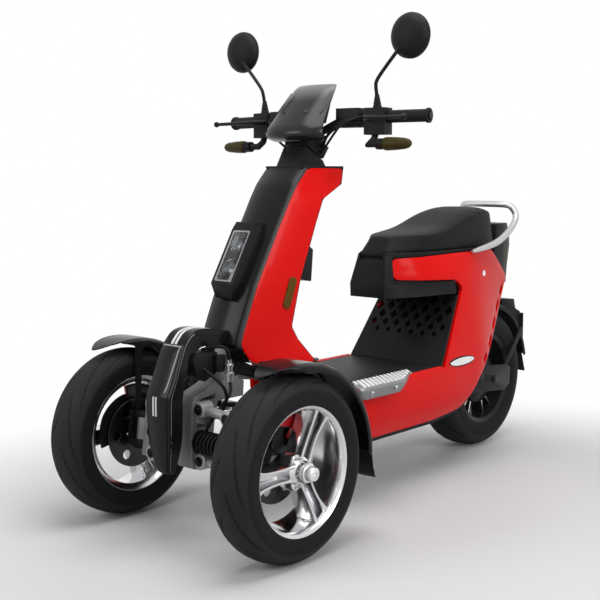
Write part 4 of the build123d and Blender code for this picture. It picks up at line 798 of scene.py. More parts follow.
def corners(points, radius, steps=4):
    """Outline with its corners turned to a radius, and points along its runs."""
    loop = []
    points = [Vector(point).to_2d() for point in points]
    for before, here, after in zip([points[-1], *points[:-1]], points, [*points[1:], points[0]]):
        into, out = before - here, after - here
        cut = min(radius, into.length * 0.45, out.length * 0.45)
        start, end = here + into.normalized() * cut, here + out.normalized() * cut
        for step in range(steps + 1):
            t = step / steps
            loop.append(start * (1 - t) ** 2 + here * 2 * t * (1 - t) + end * t**2)
    return [(point.x, point.y) for point in loop]


def divided(loop, pitch):
    """Outline with points no further apart than a pitch."""
    result = []
    for (ax, ay), (bx, by) in zip(loop, [*loop[1:], loop[0]]):
        parts = max(1, int(math.hypot(bx - ax, by - ay) / pitch))
        result += [(ax + (bx - ax) * k / parts, ay + (by - ay) * k / parts) for k in range(parts)]
    return result


def panel(name, loop, holes, pitch, lift, finish, facing):
    """Curved sheet cut to a flat outline with holes, lifted onto the body's surface."""
    loop = divided(loop, pitch)
    spots, edges = [], []
    for ring in (loop, *holes):
        start = len(spots)
        spots += ring
        edges += [(start + k, start + (k + 1) % len(ring)) for k in range(len(ring))]
    low_u, high_u = min(u for u, v in loop), max(u for u, v in loop)
    low_v, high_v = min(v for u, v in loop), max(v for u, v in loop)
    for row in range(int((high_v - low_v) / pitch)):
        for column in range(int((high_u - low_u) / pitch)):
            spot = (low_u + (column + 0.5 + 0.5 * (row % 2)) * pitch, low_v + (row + 0.5) * pitch)
            clear = min((spot[0] - u) ** 2 + (spot[1] - v) ** 2 for u, v in spots)
            if clear > (0.55 * pitch) ** 2 and inside(spot, loop) and not any(inside(spot, hole) for hole in holes):
                spots.append(spot)
    flat, links, faces, *rest = delaunay_2d_cdt([Vector(spot) for spot in spots], edges, [], 0, 1e-4)
    kept = []
    for face in faces:
        middle = sum((flat[k] for k in face), Vector((0, 0))) / len(face)
        if inside(middle, loop) and not any(inside(middle, hole) for hole in holes):
            kept.append(face)
    return made(name, [lift(u, v) for u, v in flat], kept, finish, 40, facing)


FRONT_DEEP, FRONT_LOW, FRONT_STEP, FRONT_ROWS = 15.0, 488, 10, 48
FRONT_SHARES = (0.95, 0.85, 0.7, 0.5, 0.25, 0.0)
EDGING = ((3.4, -2.6), (2.6, 0.6), (-1.0, 2.6), (-6.6, 4.4), (-6.6, 2.0), (0, -1.6))
shield_rings, edging_rings = [], {1: [], -1: []}
for step in range(FRONT_ROWS):
    z = min(FRONT_LOW + FRONT_STEP * step, SHIELD[-1][0] + 1.5)
    front, rear, half_front, half_rear = shield_row(z)
    ring = [(front - FRONT_DEEP, half_front + 4.5), (front - 12, half_front + 3.6), (front - 8.0, half_front + 1.0)]
    ring += [(front + 9 - 14.5 * share**2, half_front * share) for share in FRONT_SHARES]
    ring += [(x, -y) for x, y in reversed(ring[:-1])]
    shield_rings.append([(x, y, z) for x, y in ring])
    z = min(z, SHIELD[-1][0] + 1)
    front, rear, half_front, half_rear = shield_row(z)
    for side in (1, -1):
        edging_rings[side].append([(front - 8.0 + dx, side * (half_front + 1.0 + dy), z) for dx, dy in EDGING])
shield_front = skin("shield_front", shield_rings, black_gloss, closed=False, facing=(1, 0, 0.5), sharp=30)
settled(shield_front, walled(4), sharp=30)
edging = [skin("edging", edging_rings[side], edging_grey, sharp=50) for side in (1, -1)]
mounted(joined("leg_shield_face", [shield_front, *edging]), "frame", "black_gloss", "leg_shield_front")

shield_loop = [(front - FRONT_DEEP, z) for z, front, rear, hf, hr in SHIELD[1:]]
shield_loop = [(566, 446), *shield_loop, *[(rear + 2, z) for z, front, rear, hf, hr in reversed(SHIELD)]]
shield_loop = corners(shield_loop, 16)


def on_side(half_width, side, lift=0.0):
    """Function that sets a flat (x, z) point on one side of a body of that half width."""
    return lambda x, z: (x, side * (half_width(x, z) + lift), z)


for side, hand in HANDS:
    lift = on_side(shield_side, side)
    red_side = panel(f"shield_side_{hand}", shield_loop, [], 16, lift, red_paint, (0, side, 0))
    settled(red_side, walled(5), rounded(2.2, 3, 50), sharp=50)
    mounted(red_side, "frame", "red_paint", f"leg_shield_{hand}")
softened("leg_shield_inner", black_plastic, "frame", "black_plastic", 2)
closing = [[(598, y, 490), (594, y, 490), (562, y * 1.1, 446), (566, y * 1.1, 446)] for y in (-66, 66)]
mounted(skin("shield_foot", closing, black_plastic), "frame", "black_plastic")
POCKET = [(372, 760), (347, 758), (304, 728), (312, 640), (338, 646), (396, 660)]
mounted(plate("rider_pocket", POCKET, 8, 66, black_plastic, 3), "frame", "black_plastic")

amber_reflector = Finish("amber_reflector", (0.09, 0.045, 0.003), 0.3, {"Specular IOR Level": 0.12})
prism = amber_reflector.texture("Voronoi", 260.0, {"feature": "F1"})
amber_reflector.feed("Base Color", amber_reflector.mix(prism, (0.13, 0.065, 0.004, 1), (0.06, 0.028, 0.002, 1)))
amber_reflector.relief(prism, 0.001)
REFLECTOR = corners([(411, 658), (433, 665), (464, 586), (443, 575)], 11)
oblongs = []
for side in (1, -1):
    oblong = panel("oblong", REFLECTOR, [], 9, on_side(shield_side, side, 4.0), amber_reflector, (0, side, 0))
    oblongs.append(settled(oblong, walled(4.2), rounded(1.6, 3, 50), sharp=50))
mounted(joined("reflector_oblongs", oblongs), "frame", "amber_lens", "side_reflectors")


# Headlamp: a black box on the front face with a grey bezel, two round projector lamps one above the
# other, and a smoked clear cover.
lamp_low, lamp_high = Vector((596, 0, 650)), Vector((513, 0, 792))
lamp_up, lamp_long = (lamp_high - lamp_low).normalized(), (lamp_high - lamp_low).length
lamp_out, lamp_middle = Vector((lamp_up.z, 0, -lamp_up.x)), (lamp_low + lamp_high) * 0.5
LAMP_WIDE = 62.0
LAMP_BEZEL = ((0.5, -1), (0.5, 1.6), (2.2, 2.2), (5.0, 1.0), (5.6, -2))  # inset, stand out
LAMP_BOWL = [(-15, 0), (-13.5, 11), (-11, 15), (-5, 21.5), (-4.6, 23.5), (-6, 24)]
LAMP_BALL = [(-14, 13), (-9, 12.6), (-6.5, 10), (-5.2, 6), (-4.8, 0)]

bright_alloy = Finish("bright_alloy", (0.80, 0.80, 0.81), 0.24, {"Metallic": 1.0})
bright_alloy.surfaced((0.70, 0.70, 0.71), 0.14, 24, 900, 0.0002)
clear_lens = Finish("clear_lens", (0.52, 0.53, 0.55), 0.03, {"Transmission Weight": 1.0, "IOR": 1.45})
clear_lens.relief(clear_lens.noise(4), 0.0001, 0.1)
lamp_glass = Finish("lamp_glass", (0.30, 0.31, 0.33), 0.06, {"Metallic": 0.7, "Coat Weight": 1.0})
lamp_glass.relief(lamp_glass.noise(30), 0.0001)

lamp_frame = Finish("lamp_frame", (0.26, 0.26, 0.27), 0.36, {"Metallic": 0.8})
lamp_frame.surfaced((0.20, 0.20, 0.21), 0.1, 30, 900, 0.0002)
lamp_bowl = Finish("lamp_bowl", (0.14, 0.14, 0.15), 0.18, {"Metallic": 1.0})
lamp_bowl.surfaced((0.20, 0.20, 0.21), 0.1, 40, 900, 0.0002)

softened("headlamp_housing", black_gloss, "frame", "black_gloss", 3, 3)
softened("headlamp_lens", clear_lens, "frame", "clear_lens", 0.6)


def on_lamp(u, v, w):
    """Point on the lamp's face: across, up, out."""
    return lamp_middle + Vector((0, u, 0)) + lamp_up * v + lamp_out * w


bezel_rings = []
for inset, out in LAMP_BEZEL:
    half_u, half_v = LAMP_WIDE / 2 - inset, lamp_long / 2 - 7 - inset
    frame_loop = corners([(-half_u, -half_v), (half_u, -half_v), (half_u, half_v), (-half_u, half_v)], 6)
    bezel_rings.append([on_lamp(u, v, out) for u, v in frame_loop])
lamp_parts = [skin("bezel", bezel_rings, lamp_frame, caps=False, sharp=50)]
for along in (34, -30):
    lamp_parts.append(lathe("reflector", LAMP_BOWL, on_lamp(0, along, 0), lamp_out, lamp_bowl, 40))
    lamp_parts.append(lathe("projector", LAMP_BALL, on_lamp(0, along, 0), lamp_out, lamp_glass, 32))
mounted(joined("headlamp_optics", lamp_parts), "frame", "bright_alloy")


# Floor: a black moulded mat that rises into the leg shield. Ribbed alloy foot plates with a rounded grey
# rim stand out over each side, each held by two round-headed bolts.
softened("floor_board", black_plastic, "frame", "black_plastic", 4, 3)

plate_grey = Finish("plate_grey", (0.20, 0.205, 0.21), 0.4, {"Metallic": 0.5})
plate_grey.surfaced((0.24, 0.245, 0.25), 0.15, 30, 900, 0.0003)
rib_white = Finish("rib_white", (0.92, 0.92, 0.92), 0.3).surfaced((0.86, 0.86, 0.86), 0.12, 30, 900, 0.0002)
PLATE_UNDER, PLATE_BED, PLATE_TOP, PLATE_RIM = 326.0, 352.4, 362.0, 182.5
PLATE_PLAN = [(4, PLATE_RIM), (127, 250), (304, 247), (315, 238), (276, PLATE_RIM)]
PLATE_LEVELS = (
    # height, share by which the plan shrinks
    (PLATE_UNDER, 0.16), (PLATE_UNDER + 10, 0.07), (PLATE_BED, 0.0), (357, 0.0),
    (PLATE_TOP - 1, 0.03), (PLATE_TOP, 0.08),
)
PLATE_LEDGE = ((4, 167), (4, 190), (268, 190), (262, 167))
RIB_FIELD = [(10, 170), (10, 184), (126, 244), (300, 241), (270, 184), (262, 170)]
RIB_COUNT, RIB_PITCH, RIB_RUN = 16, 17.5, Vector((67, 84)).normalized()
RIB_ASIDE = Vector((RIB_RUN.y, -RIB_RUN.x))
RIB_SECTION = ((-4.6, 0), (-3.8, 4), (3.8, 4), (4.6, 0))
for side, hand in HANDS:
    rings = []
    for z, shrink in PLATE_LEVELS:
        ring = [(x + (150 - x) * shrink * 0.75, PLATE_RIM + (y - PLATE_RIM) * (1 - shrink)) for x, y in PLATE_PLAN]
        rings.append([(x, side * y, z) for x, y in corners(ring, 14)])
    ledge = [[(x, side * y, z) for x, y in PLATE_LEDGE] for z in (PLATE_BED, PLATE_TOP - 1.5)]
    foot_plate = [skin("plate_rim", rings, plate_grey, sharp=50)]
    foot_plate.append(settled(skin("plate_ledge", ledge, plate_grey), rounded(1.5), sharp=35))
    for k in range(RIB_COUNT):
        foot = Vector((-6 + k * RIB_PITCH, 172))
        line = [foot + RIB_RUN * step for step in range(0, 100, 2)]
        line = [spot for spot in line if inside(spot, RIB_FIELD)]
        if len(line) < 4:
            continue
        rings = []
        for spot in (line[0], line[-1]):
            edges = [(spot + RIB_ASIDE * d, PLATE_TOP - 0.6 + lift) for d, lift in RIB_SECTION]
            rings.append([(edge.x, side * edge.y, z) for edge, z in edges])
        foot_plate.append(skin("rib", rings, rib_white))
    stands_for = ["foot_plates"] if side > 0 else []
    mounted(joined(f"foot_plate_{hand}", foot_plate), "frame", "bright_alloy", *stands_for)
    heads = [((x, side * y, 342), (0.02, side, -0.45)) for x, y in ((160, 247), (266, 244))]
    mounted(copies(f"foot_plate_bolts_{hand}", bolt_head(8, 4, steel), heads, steel), "frame", "steel")


# Side panels: painted red mouldings that sweep from the floor's edge up to the seat. Slanted vents run
# down the rear edge, a black sill closes the foot, and each panel carries a lock and a folded pillion peg.
PANEL_OUTLINE = [
    (-62, 679), (-62, 616), (-298, 606), (-330, 580), (-182, 341), (-164.5, 352), (272, 352), (330, 392), (312, 300),
    (240, 184), (-152, 182), (-307, 196), (-362, 244), (-580, 453), (-684, 580), (-676, 596), (-548, 688.5),
    (-300, 687),
]
BODY_WIDTHS = (
    # x, then half width at each level
    (340, (150, 160, 160, 76, 64)),
    (200, (166, 181, 180, 76, 64)),
    (-62, (166, 181, 180, 76, 64)),
    (-150, (166, 181, 180, 118, 98)),
    (-300, (158, 175, 176, 142, 120)),
    (-450, (140, 158, 164, 138, 124)),
    (-730, (60, 74, 78, 82, 84)),
)
BODY_LEVELS = (170, 240, 350, 600, 700)


def eased(value, stops, numbers):
    """Number at a value, on a smooth line through the numbers at rising or falling stops."""
    last = len(stops) - 1
    k = next((k for k in range(last) if (value - stops[k]) * (value - stops[k + 1]) <= 0), last - 1)
    t = min(max((value - stops[k]) / (stops[k + 1] - stops[k]), 0.0), 1.0)
    span = stops[k + 1] - stops[k]
    slopes = []
    for j in (k, k + 1):
        a, b = max(j - 1, 0), min(j + 1, last)
        slopes.append((numbers[b] - numbers[a]) / (stops[b] - stops[a]) * span)
    u = 1 - t
    rise = numbers[k] * (1 + 2 * t) * u * u + slopes[0] * t * u * u
    return rise + numbers[k + 1] * t * t * (3 - 2 * t) - slopes[1] * t * t * u


def body_half(x, z):
    """Half width of the body at a point of its side."""
    columns = [row[0] for row in BODY_WIDTHS]
    level = [eased(x, columns, [row[1][j] for row in BODY_WIDTHS]) for j in range(len(BODY_LEVELS))]
    return eased(z, BODY_LEVELS, level) - 13 * max(0.0, (255 - z) / 75) ** 2


VENTS = (
    # x, z, half length along the rear edge
    (-630, 543, 24), (-586, 496, 29), (-541, 441, 30), (-494, 388, 28), (-440, 341, 21),
)
VENT_LEAN, VENT_HALF = math.radians(134), 10
VENT_ALONG = Vector((math.cos(VENT_LEAN), math.sin(VENT_LEAN)))
VENT_ASIDE = Vector((VENT_ALONG.y, -VENT_ALONG.x)) * VENT_HALF
vent_holes = []
for x, z, half in VENTS:
    reach = VENT_ALONG * half
    ends = (reach + VENT_ASIDE, reach * 0.62 - VENT_ASIDE, -reach - VENT_ASIDE, VENT_ASIDE - reach * 0.62)
    vent_holes.append(corners([Vector((x, z)) + end for end in ends], 3))
SILL = ((238, 184), (140, 183), (0, 182.5), (-152, 182), (-230, 189), (-307, 196), (-340, 224))  # x, panel's foot
SILL_SECTION = ((-3, 6), (-4, -9), (-8, -13), (-18, -13), (-18, 6))
LOCK_X, LOCK_Z = -475, 613
LOCK = [(-2, 0), (-2, 10), (1.5, 10), (2.5, 8.5), (2.5, 6), (1.5, 5.5), (1.5, 0)]
for side, hand in HANDS:
    panel_loop, lift = corners(PANEL_OUTLINE, 22), on_side(body_half, side)
    red_panel = panel(f"body_side_{hand}", panel_loop, vent_holes, 20, lift, red_paint, (0, side, 0))
    settled(red_panel, walled(12), rounded(3.5, 3, 50), sharp=50)
    mounted(red_panel, "frame", "red_paint", f"side_panel_{hand}")
    sill_rings = [[(x, side * (body_half(x, low) + y), low + z) for y, z in SILL_SECTION] for x, low in SILL]
    mounted(skin(f"sill_{hand}", sill_rings, black_plastic, sharp=35), "frame", "black_plastic")
    lock_place = (LOCK_X, side * body_half(LOCK_X, LOCK_Z), LOCK_Z)
    mounted(lathe("lock", LOCK, lock_place, (-0.1, side, 0), bright_alloy, 28), "frame", "bright_alloy")

PEG_MIDDLE, PEG_ALONG = Vector((-285.5, 352)), Vector((-144, 12)).normalized()
PEG_ACROSS = Vector((PEG_ALONG.y, -PEG_ALONG.x))


def leaf(long, high):
    """Pointed oval outline of a folded peg."""
    loop = []
    for angle in range(0, 360, 12):
        run, rise = math.cos(math.radians(angle)), math.sin(math.radians(angle))
        loop.append(PEG_MIDDLE + PEG_ALONG * long * run + PEG_ACROSS * high * (rise - 0.45 * run) / 1.1)
    return loop


pegs, peg_frames = [], []
for side in (1, -1):
    peg = panel("peg", leaf(70, 13), [], 9, on_side(body_half, side, 3.5), bright_alloy, (0, side, 0))
    pegs.append(settled(peg, walled(5), rounded(2, 3, 50), sharp=50))
    around = panel("peg_frame", leaf(75, 17), [], 9, on_side(body_half, side, 0.9), black_plastic, (0, side, 0))
    peg_frames.append(settled(around, walled(3), sharp=50))
mounted(joined("peg_leaves", pegs), "frame", "bright_alloy", "pillion_pegs")
mounted(joined("peg_frames", peg_frames), "frame", "black_plastic")


# Seat front: a perforated black panel between floor and store, its diamond holes in staggered rows with a
# black sheet behind them as painted shade inside the holes, under the faceted black store with its lip, which carries
# the seat.
softened("seat_front_panel", black_plastic, "frame", "black_plastic", 0.8, 1)
softened("seat_bucket", black_plastic, "frame", "black_plastic", 2.5)
bucket_bolts = [((-48.5, y, 664), (1, 0, 0.3)) for y in (-46, 46)]
mounted(copies("store_bolts", bolt_head(4.5, 3, black_metal), bucket_bolts, black_metal), "frame", "black_metal")
lip_rings = []
for x, y in ((-62, -56), (-54, -54), (-50, -48), (-50, 48), (-54, 54), (-62, 56)):
    lip_rings.append([(x + 1, y, 680), (x + 6, y * 1.05, 668), (x + 2.5, y * 1.02, 667), (x - 2.5, y * 0.97, 679)])
mounted(settled(skin("store_lip", lip_rings, black_plastic), rounded(0.8), sharp=50), "frame", "black_plastic")
# Painted shade: a black sheet behind the holes, so that they read dark as the shade inside them would.
SHADE_SHEET = [(-206, -158, 356), (-206, 158, 356), (-330, 130, 556), (-330, -130, 556)]
shade_sheet = made("store_liner", SHADE_SHEET, [(0, 1, 2, 3)], black_plastic, facing=(1, 0, 0))
mounted(settled(shade_sheet, walled(3)), "frame", "black_plastic")


# Seat: a padded stepped cushion on a flat base with a skirt. Its cover is black grained vinyl with an edge
# between top and sides, and the foam under it crowns the top a little.
softened("seat_base", black_plastic, "seat", "black_plastic", 1.5)

seat_vinyl = Finish("seat_vinyl", (0.006, 0.006, 0.007), 0.46, {"Specular IOR Level": 0.09})
pebble = seat_vinyl.texture("Voronoi", 620.0, {"feature": "DISTANCE_TO_EDGE"})
rub = seat_vinyl.noise(7, 5.0)
seat_vinyl.feed("Base Color", seat_vinyl.mix(rub, (0.006, 0.006, 0.007, 1), (0.009, 0.009, 0.010, 1)))
seat_vinyl.feed("Roughness", 0.44 + rub * 0.16)
seat_vinyl.relief(pebble, 0.0007)

SEAT_FOOT = 690.8
SEAT = (
    # x, half width at foot, half width at seam, seam height, half width on top, top height
    (-53, 50, 48, 697, 42, 698),
    (-70, 61, 45, 712, 38, 713),
    (-86, 70, 37, 737, 30, 738),
    (-90, 72, 35, 742.5, 28, 743.5),
    (-94, 74, 38, 743.5, 29, 745),
    (-120, 85, 61, 744.5, 46, 748),
    (-150, 97, 84, 745, 64, 751),
    (-198, 108, 102, 746, 78, 755),
    (-240, 114, 108, 749, 82, 760),
    (-293, 118, 110, 757, 84, 768),
    (-340, 118.5, 110, 771, 84, 782),
    (-390, 118.5, 109, 788, 84, 800),
    (-440, 118, 107, 802, 82, 815),
    (-498, 114, 102, 813, 78, 825),
    (-545, 108, 95, 814, 72, 826),
    (-590, 97, 82, 808, 60, 818),
    (-612, 84, 68, 790, 48, 798),
    (-619, 74, 60, 756, 42, 762),
)
seat_rings = []
for x, foot, seam, seam_z, top, top_z in SEAT:
    half = [(foot - 4, SEAT_FOOT), (foot, SEAT_FOOT + 5), (seam + 1.2, seam_z - 2.5), (seam, seam_z)]
    half += [(seam - 3, seam_z + 1.2), (top, top_z - 1.5), (top * 0.5, top_z), (0, top_z + 0.5)]
    seat_rings.append([(x, y, z) for y, z in half] + [(x, -y, z) for y, z in reversed(half[:-1])])
cushion = settled(skin("seat_pad", seat_rings, seat_vinyl), smoothed(1), sharp=80)


def inflated(piece, voxel, pressure, cap):
    """Fill a pad with foam: cloth under pressure, its movement held to a cap."""
    settled(piece, ("REMESH", {"mode": "VOXEL", "voxel_size": voxel * 0.001}), sharp=80)
    start = [vertex.co.copy() for vertex in piece.data.vertices]
    cloth = piece.modifiers.new("foam", "CLOTH")
    cloth.settings.use_pressure = True
    cloth.settings.uniform_pressure_force = pressure
    cloth.settings.effector_weights.gravity = 0.0
    cloth.settings.tension_stiffness = 40
    cloth.settings.bending_stiffness = 8
    cloth.point_cache.frame_start = 1
    cloth.point_cache.frame_end = 20
    for number in range(1, 21):
        bpy.context.scene.frame_set(number)
    baked(piece, 80)
    bpy.context.scene.frame_set(1)
    for vertex, base in zip(piece.data.vertices, start):
        move = vertex.co - base
        if move.length > cap * 0.001:
            move = move.normalized() * cap * 0.001
        vertex.co = base + move
        vertex.co.z = max(vertex.co.z, SEAT_FOOT * 0.001)
    shaded(piece.data, 80)
    return piece


inflated(cushion, 3.6, 1.6, 1.4)
mounted(cushion, "seat", "seat_cover", "seat_cushion")
skirt_line = [(x, foot + 0.6) for x, foot, *rest in SEAT if x > -560]
skirt_line = [(x, -y) for x, y in reversed(skirt_line)] + [(-50.5, -48), (-50.5, 48)] + skirt_line
skirt_rings = []
for x, y in skirt_line:
    low = 680.5 + min(9.5, max(0.0, (-62 - x) * 0.036))
    in_x, in_y, top = x * 0.99 - 3.5, y * 0.97, SEAT_FOOT + 7
    skirt_rings.append([(x, y, low), (x, y, top), (in_x, in_y, top), (in_x, in_y, low)])
mounted(settled(skin("seat_skirt", skirt_rings, black_plastic), rounded(0.8), sharp=40), "seat", "black_plastic")


# Tail: a black cover behind the seat with a narrow red lamp and two smoked amber indicators. A bright bent
# grab rail runs from the panels round the back of the seat.
def tube(name, points, radius, finish):
    """Round bar along a smooth line; radius is one number or one for each point."""
    line = bpy.data.curves.new(name, "CURVE")
    line.dimensions = "3D"
    spline = line.splines.new("NURBS")
    spline.points.add(len(points) - 1)
    for k, point in enumerate(points):
        spline.points[k].co = (*[c * 0.001 for c in point], 1.0)
        spline.points[k].radius = radius[k] if isinstance(radius, (list, tuple)) else radius
    spline.order_u = 3
    spline.use_endpoint_u = True
    spline.resolution_u = 8
    line.bevel_depth = 0.001
    line.bevel_resolution = 4
    line.use_fill_caps = True
    holder = bpy.data.objects.new(name, line)
    bpy.context.collection.objects.link(holder)
    mesh = bpy.data.meshes.new_from_object(holder.evaluated_get(bpy.context.evaluated_depsgraph_get()))
    bpy.data.objects.remove(holder)
    return placed(name, mesh, finish, 40)


red_lens = Finish("red_lens", (0.30, 0.004, 0.006), 0.12, {"Coat Weight": 0.8})
ribs_red = red_lens.texture("Wave", 60.0, {"bands_direction": "Y"})
red_lens.relief(ribs_red, 0.0006)
smoked_amber = Finish("smoked_amber", (0.04, 0.03, 0.004), 0.4, {"Specular IOR Level": 0.12})
lens_ribs = smoked_amber.texture("Wave", 70.0, {"bands_direction": "Y"})
smoked_amber.feed("Base Color", smoked_amber.mix(lens_ribs, (0.050, 0.038, 0.004, 1), (0.022, 0.016, 0.002, 1)))
smoked_amber.relief(lens_ribs, 0.0006)
softened("tail_indicators", smoked_amber, "frame", "amber_lens", 0.8)
softened("tail_cover", black_plastic, "frame", "black_plastic", 5, 3)
softened("tail_lamp", red_lens, "frame", "red_lens", 0.8)


def sided(line, side):
    """Line of the left side, set on one side."""
    return [(x, side * y, z) for x, y, z in line]


RAIL = [
    (-396, 137, 688), (-430, 137, 692), (-540, 136, 706), (-620, 129, 733), (-672, 122, 758), (-716, 113, 790),
    (-706, 98, 824), (-692, 84, 831), (-690, 40, 832), (-690, 0, 832),
]
rail_line = [*RAIL, *sided(reversed(RAIL[:-1]), -1)]
rail_radius = [5, 9, *[11] * (len(rail_line) - 4), 9, 5]
rail_silver = Finish("rail_silver", (0.56, 0.56, 0.57), 0.38, {"Metallic": 0.85})
rail_silver.surfaced((0.44, 0.44, 0.45), 0.16, 60, 900, 0.0003)
mounted(tube("grab_handle", rail_line, rail_radius, rail_silver), "frame", "bright_alloy", "grab_rail")


# Rear end: a black swingarm and two spring struts carry the wheel, whose motor is in its hub. A black
# mudguard on two stays follows the tyre, with a blank bracket for a number plate.
softened("swingarm", black_metal, "frame", "black_metal", 3)
softened("rear_shocks", black_metal, "frame", "black_metal", 1.2)
softened("rear_mudguard", black_plastic, "frame", "black_plastic", 1.2)
for side, hand in HANDS:
    foot, head = (-500, side * 102.5, 312), (-460, side * 102.5, 477)
    mounted(coil(f"rear_coil_{hand}", foot, head, 19, 3.2, 9, black_metal), "frame", "black_metal")

REAR_AXLE = Vector((-618.5, 0, 236.5))
REAR_GROOVES = (12, 0.12, 0.92, 0.5, 4.4, 3.6)
rear_tread = tyre("rear_tread", REAR_AXLE, tyre_section(53, 152, 68, 236.5), REAR_GROOVES, tyre_rubber)
mounted(rear_tread, "wheel_rear", "tyre", "tyre_rear")
rim_black = Finish("rim_black", (0.007, 0.007, 0.008), 0.3, {"Specular IOR Level": 0.14})
rim_black.surfaced((0.020, 0.020, 0.021), 0.12, 20, 800, 0.0002)
softened("rim_rear", rim_black, "wheel_rear", "black_metal", 1.5)
EDGE_SECTION = ((-2.9, 21), (-2.5, 23.4), (2.5, 23.4), (2.9, 21))
spoke_edges = []
for angle in range(0, 360, 60):
    run = Vector((math.cos(math.radians(angle)), 0, math.sin(math.radians(angle))))
    aside = Vector((-run.z, 0, run.x))
    for lean, face in ((1, 1), (-1, 1), (1, -1), (-1, -1)):
        rings = []
        for reach, swing in ((88, 10.5), (143, 25)):
            at = REAR_AXLE + run * reach + aside * swing * lean
            rings.append([at + aside * d + Vector((0, face * out, 0)) for d, out in EDGE_SECTION])
        spoke_edges.append(skin("spoke_edge", rings, bright_alloy))
mounted(joined("spoke_edges", spoke_edges), "wheel_rear", "bright_alloy")


# Brake fittings: a black tilt unit with its cap and a cast tie plate behind the nose, a bright union, and
# the black hoses that run from there to the carrier.
TILT_UNIT = [(655, 484), (728, 486), (742, 470), (730, 430), (700, 412), (660, 430)]
TILT_CAP = [(640, 476), (672, 480), (676, 436), (646, 432)]
TIE_PLATE = [(612, 486), (650, 490), (664, 430), (628, 396), (606, 420)]
UNION = [(0, 0), (0, 10), (14, 10), (16, 13), (24, 13), (26, 9), (38, 9), (40, 12), (46, 12), (48, 7), (58, 7), (58, 0)]
fittings = [
    plate("tilt_unit", TILT_UNIT, -30, 46, black_plastic, 4),
    plate("tilt_cap", TILT_CAP, 46, 62, black_plastic, 4),
    plate("tie_plate", TIE_PLATE, 24, 31, grey_casting, 2),
    lathe("union", UNION, (636, 66, 408), (0.1, 0.1, 1), steel, 20, 30),
]
HOSES = (
    ((642, 72, 462), (646, 78, 492), (668, 54, 504), (690, 20, 490)),
    ((706, 44, 446), (698, 86, 424), (672, 98, 384), (676, 82, 330), (700, 62, 316)),
    ((636, 66, 412), (646, 90, 386), (690, 88, 352), (716, 66, 300), (712, 52, 280)),
)
for line in HOSES:
    for side in (1, -1):
        fittings.append(tube("hose", sided(line, side), 4.2, black_plastic))
mounted(joined("brake_fittings", fittings), "frame", "black_plastic")


# Handlebar: the column head carries a bent black bar with rubber grips, switch boxes, ball-ended levers,
# round mirrors on thin stems and smoked amber indicators.
softened("steering_column", black_plastic, "handlebar", "black_plastic", 3, 3)
BAR_HALF = [
    (248, 0, 1046), (247, 24, 1046), (246, 40, 1048), (226, 92, 1078), (212, 125, 1088), (198, 214, 1088),
    (175, 362, 1088),
]
bar_line = [*sided(reversed(BAR_HALF[1:]), -1), *BAR_HALF]
mounted(tube("bar_tube", bar_line, 11, black_metal), "handlebar", "black_metal", "handlebar")

grip_rubber = Finish("grip_rubber", (0.009, 0.009, 0.009), 0.6, {"Specular IOR Level": 0.12})
grip_knurl = grip_rubber.texture("Voronoi", 420.0, {"feature": "F1"})
grip_rubber.relief(grip_knurl, 0.0012)
softened("grips", grip_rubber, "handlebar", "grip_rubber", 2.5, 3)
softened("switch_boxes", black_plastic, "handlebar", "black_plastic", 4, 3)

cables = []
for side in (1, -1):
    for shift, bow in ((0, 0), (9, 14), (-10, 24)):
        half_line = [
            (222, 176, 1082 + shift), (250 + bow * 0.3, 140 + shift, 1084 - bow * 0.3),
            (262 + bow * 0.5, 96 - shift, 1060 - bow), (258, 60, 1022 - bow), (236, 34 + shift * 0.6, 1000 + shift),
        ]
        cables.append(tube("cable", sided(half_line, side), 3.4, black_plastic))
mounted(joined("bar_cables", cables), "handlebar", "black_plastic")

LEVER = ((223, 185, 1084), (247, 193, 1084), (262, 214, 1083), (267, 260, 1082), (272, 338, 1081))
LEVER_RADII = [7.5, 7.5, 6.5, 5.4, 4.8]
LEVER_BALL = [(-8.5, 0), (-7.4, 4.2), (-4.2, 7.4), (0, 8.5), (4.2, 7.4), (7.4, 4.2), (8.5, 0)]
lever_parts = []
for side in (1, -1):
    lever_parts.append(tube("lever", sided(LEVER, side), LEVER_RADII, black_metal))
    ball = lathe("lever_ball", LEVER_BALL, (272.5, side * 342, 1081), (0.05, side, 0), black_metal, 24)
    lever_parts.append(ball)
mounted(joined("levers", lever_parts), "handlebar", "black_metal", "brake_levers")

MIRROR_X, MIRROR_Y, MIRROR_Z = 201.5, 306, 1296
MIRROR_SHELL = [
    (-10, 0), (-10, 56), (-14, 56.5), (-14, 59), (-12, 60), (-4, 60), (2, 57.5), (9, 51.5), (15, 43), (20, 31),
    (23, 16), (24, 0),
]
STEM = (
    (205, 207, 1113), (207, 207, 1142), (213, 207, 1168), (216, 210, 1182), (216, 236, 1212), (215, 292, 1270),
    (214, 300, 1282),
)
STEM_BOOT = [
    (0, 0), (0, 12), (5, 12), (8, 10), (13, 10.5), (17, 8.6), (21, 9), (25, 7.4), (30, 6.8), (36, 5.4), (36, 0),
]
mirror_glass = Finish("mirror_glass", (0.86, 0.87, 0.88), 0.03, {"Metallic": 1.0})
mirror_glass.feed("Roughness", 0.02 + mirror_glass.noise(30) * 0.02)
softened("mirror_glasses", mirror_glass, "handlebar", "mirror_glass", 0.3)
shells, stems = [], []
for side in (1, -1):
    at = (MIRROR_X, side * MIRROR_Y, MIRROR_Z)
    shells.append(lathe("mirror_shell", MIRROR_SHELL, at, (1, 0, 0), black_plastic, 72, 50))
    stems.append(tube("stem", sided(STEM, side), 5, black_metal))
    stems.append(lathe("stem_boot", STEM_BOOT, (205, side * 207, 1112.5), (0.06, 0, 1), black_plastic, 28))
mounted(joined("mirror_backs", shells), "handlebar", "black_plastic", "mirror_shells")
mounted(joined("mirror_arms", stems), "handlebar", "black_metal", "mirror_stems")

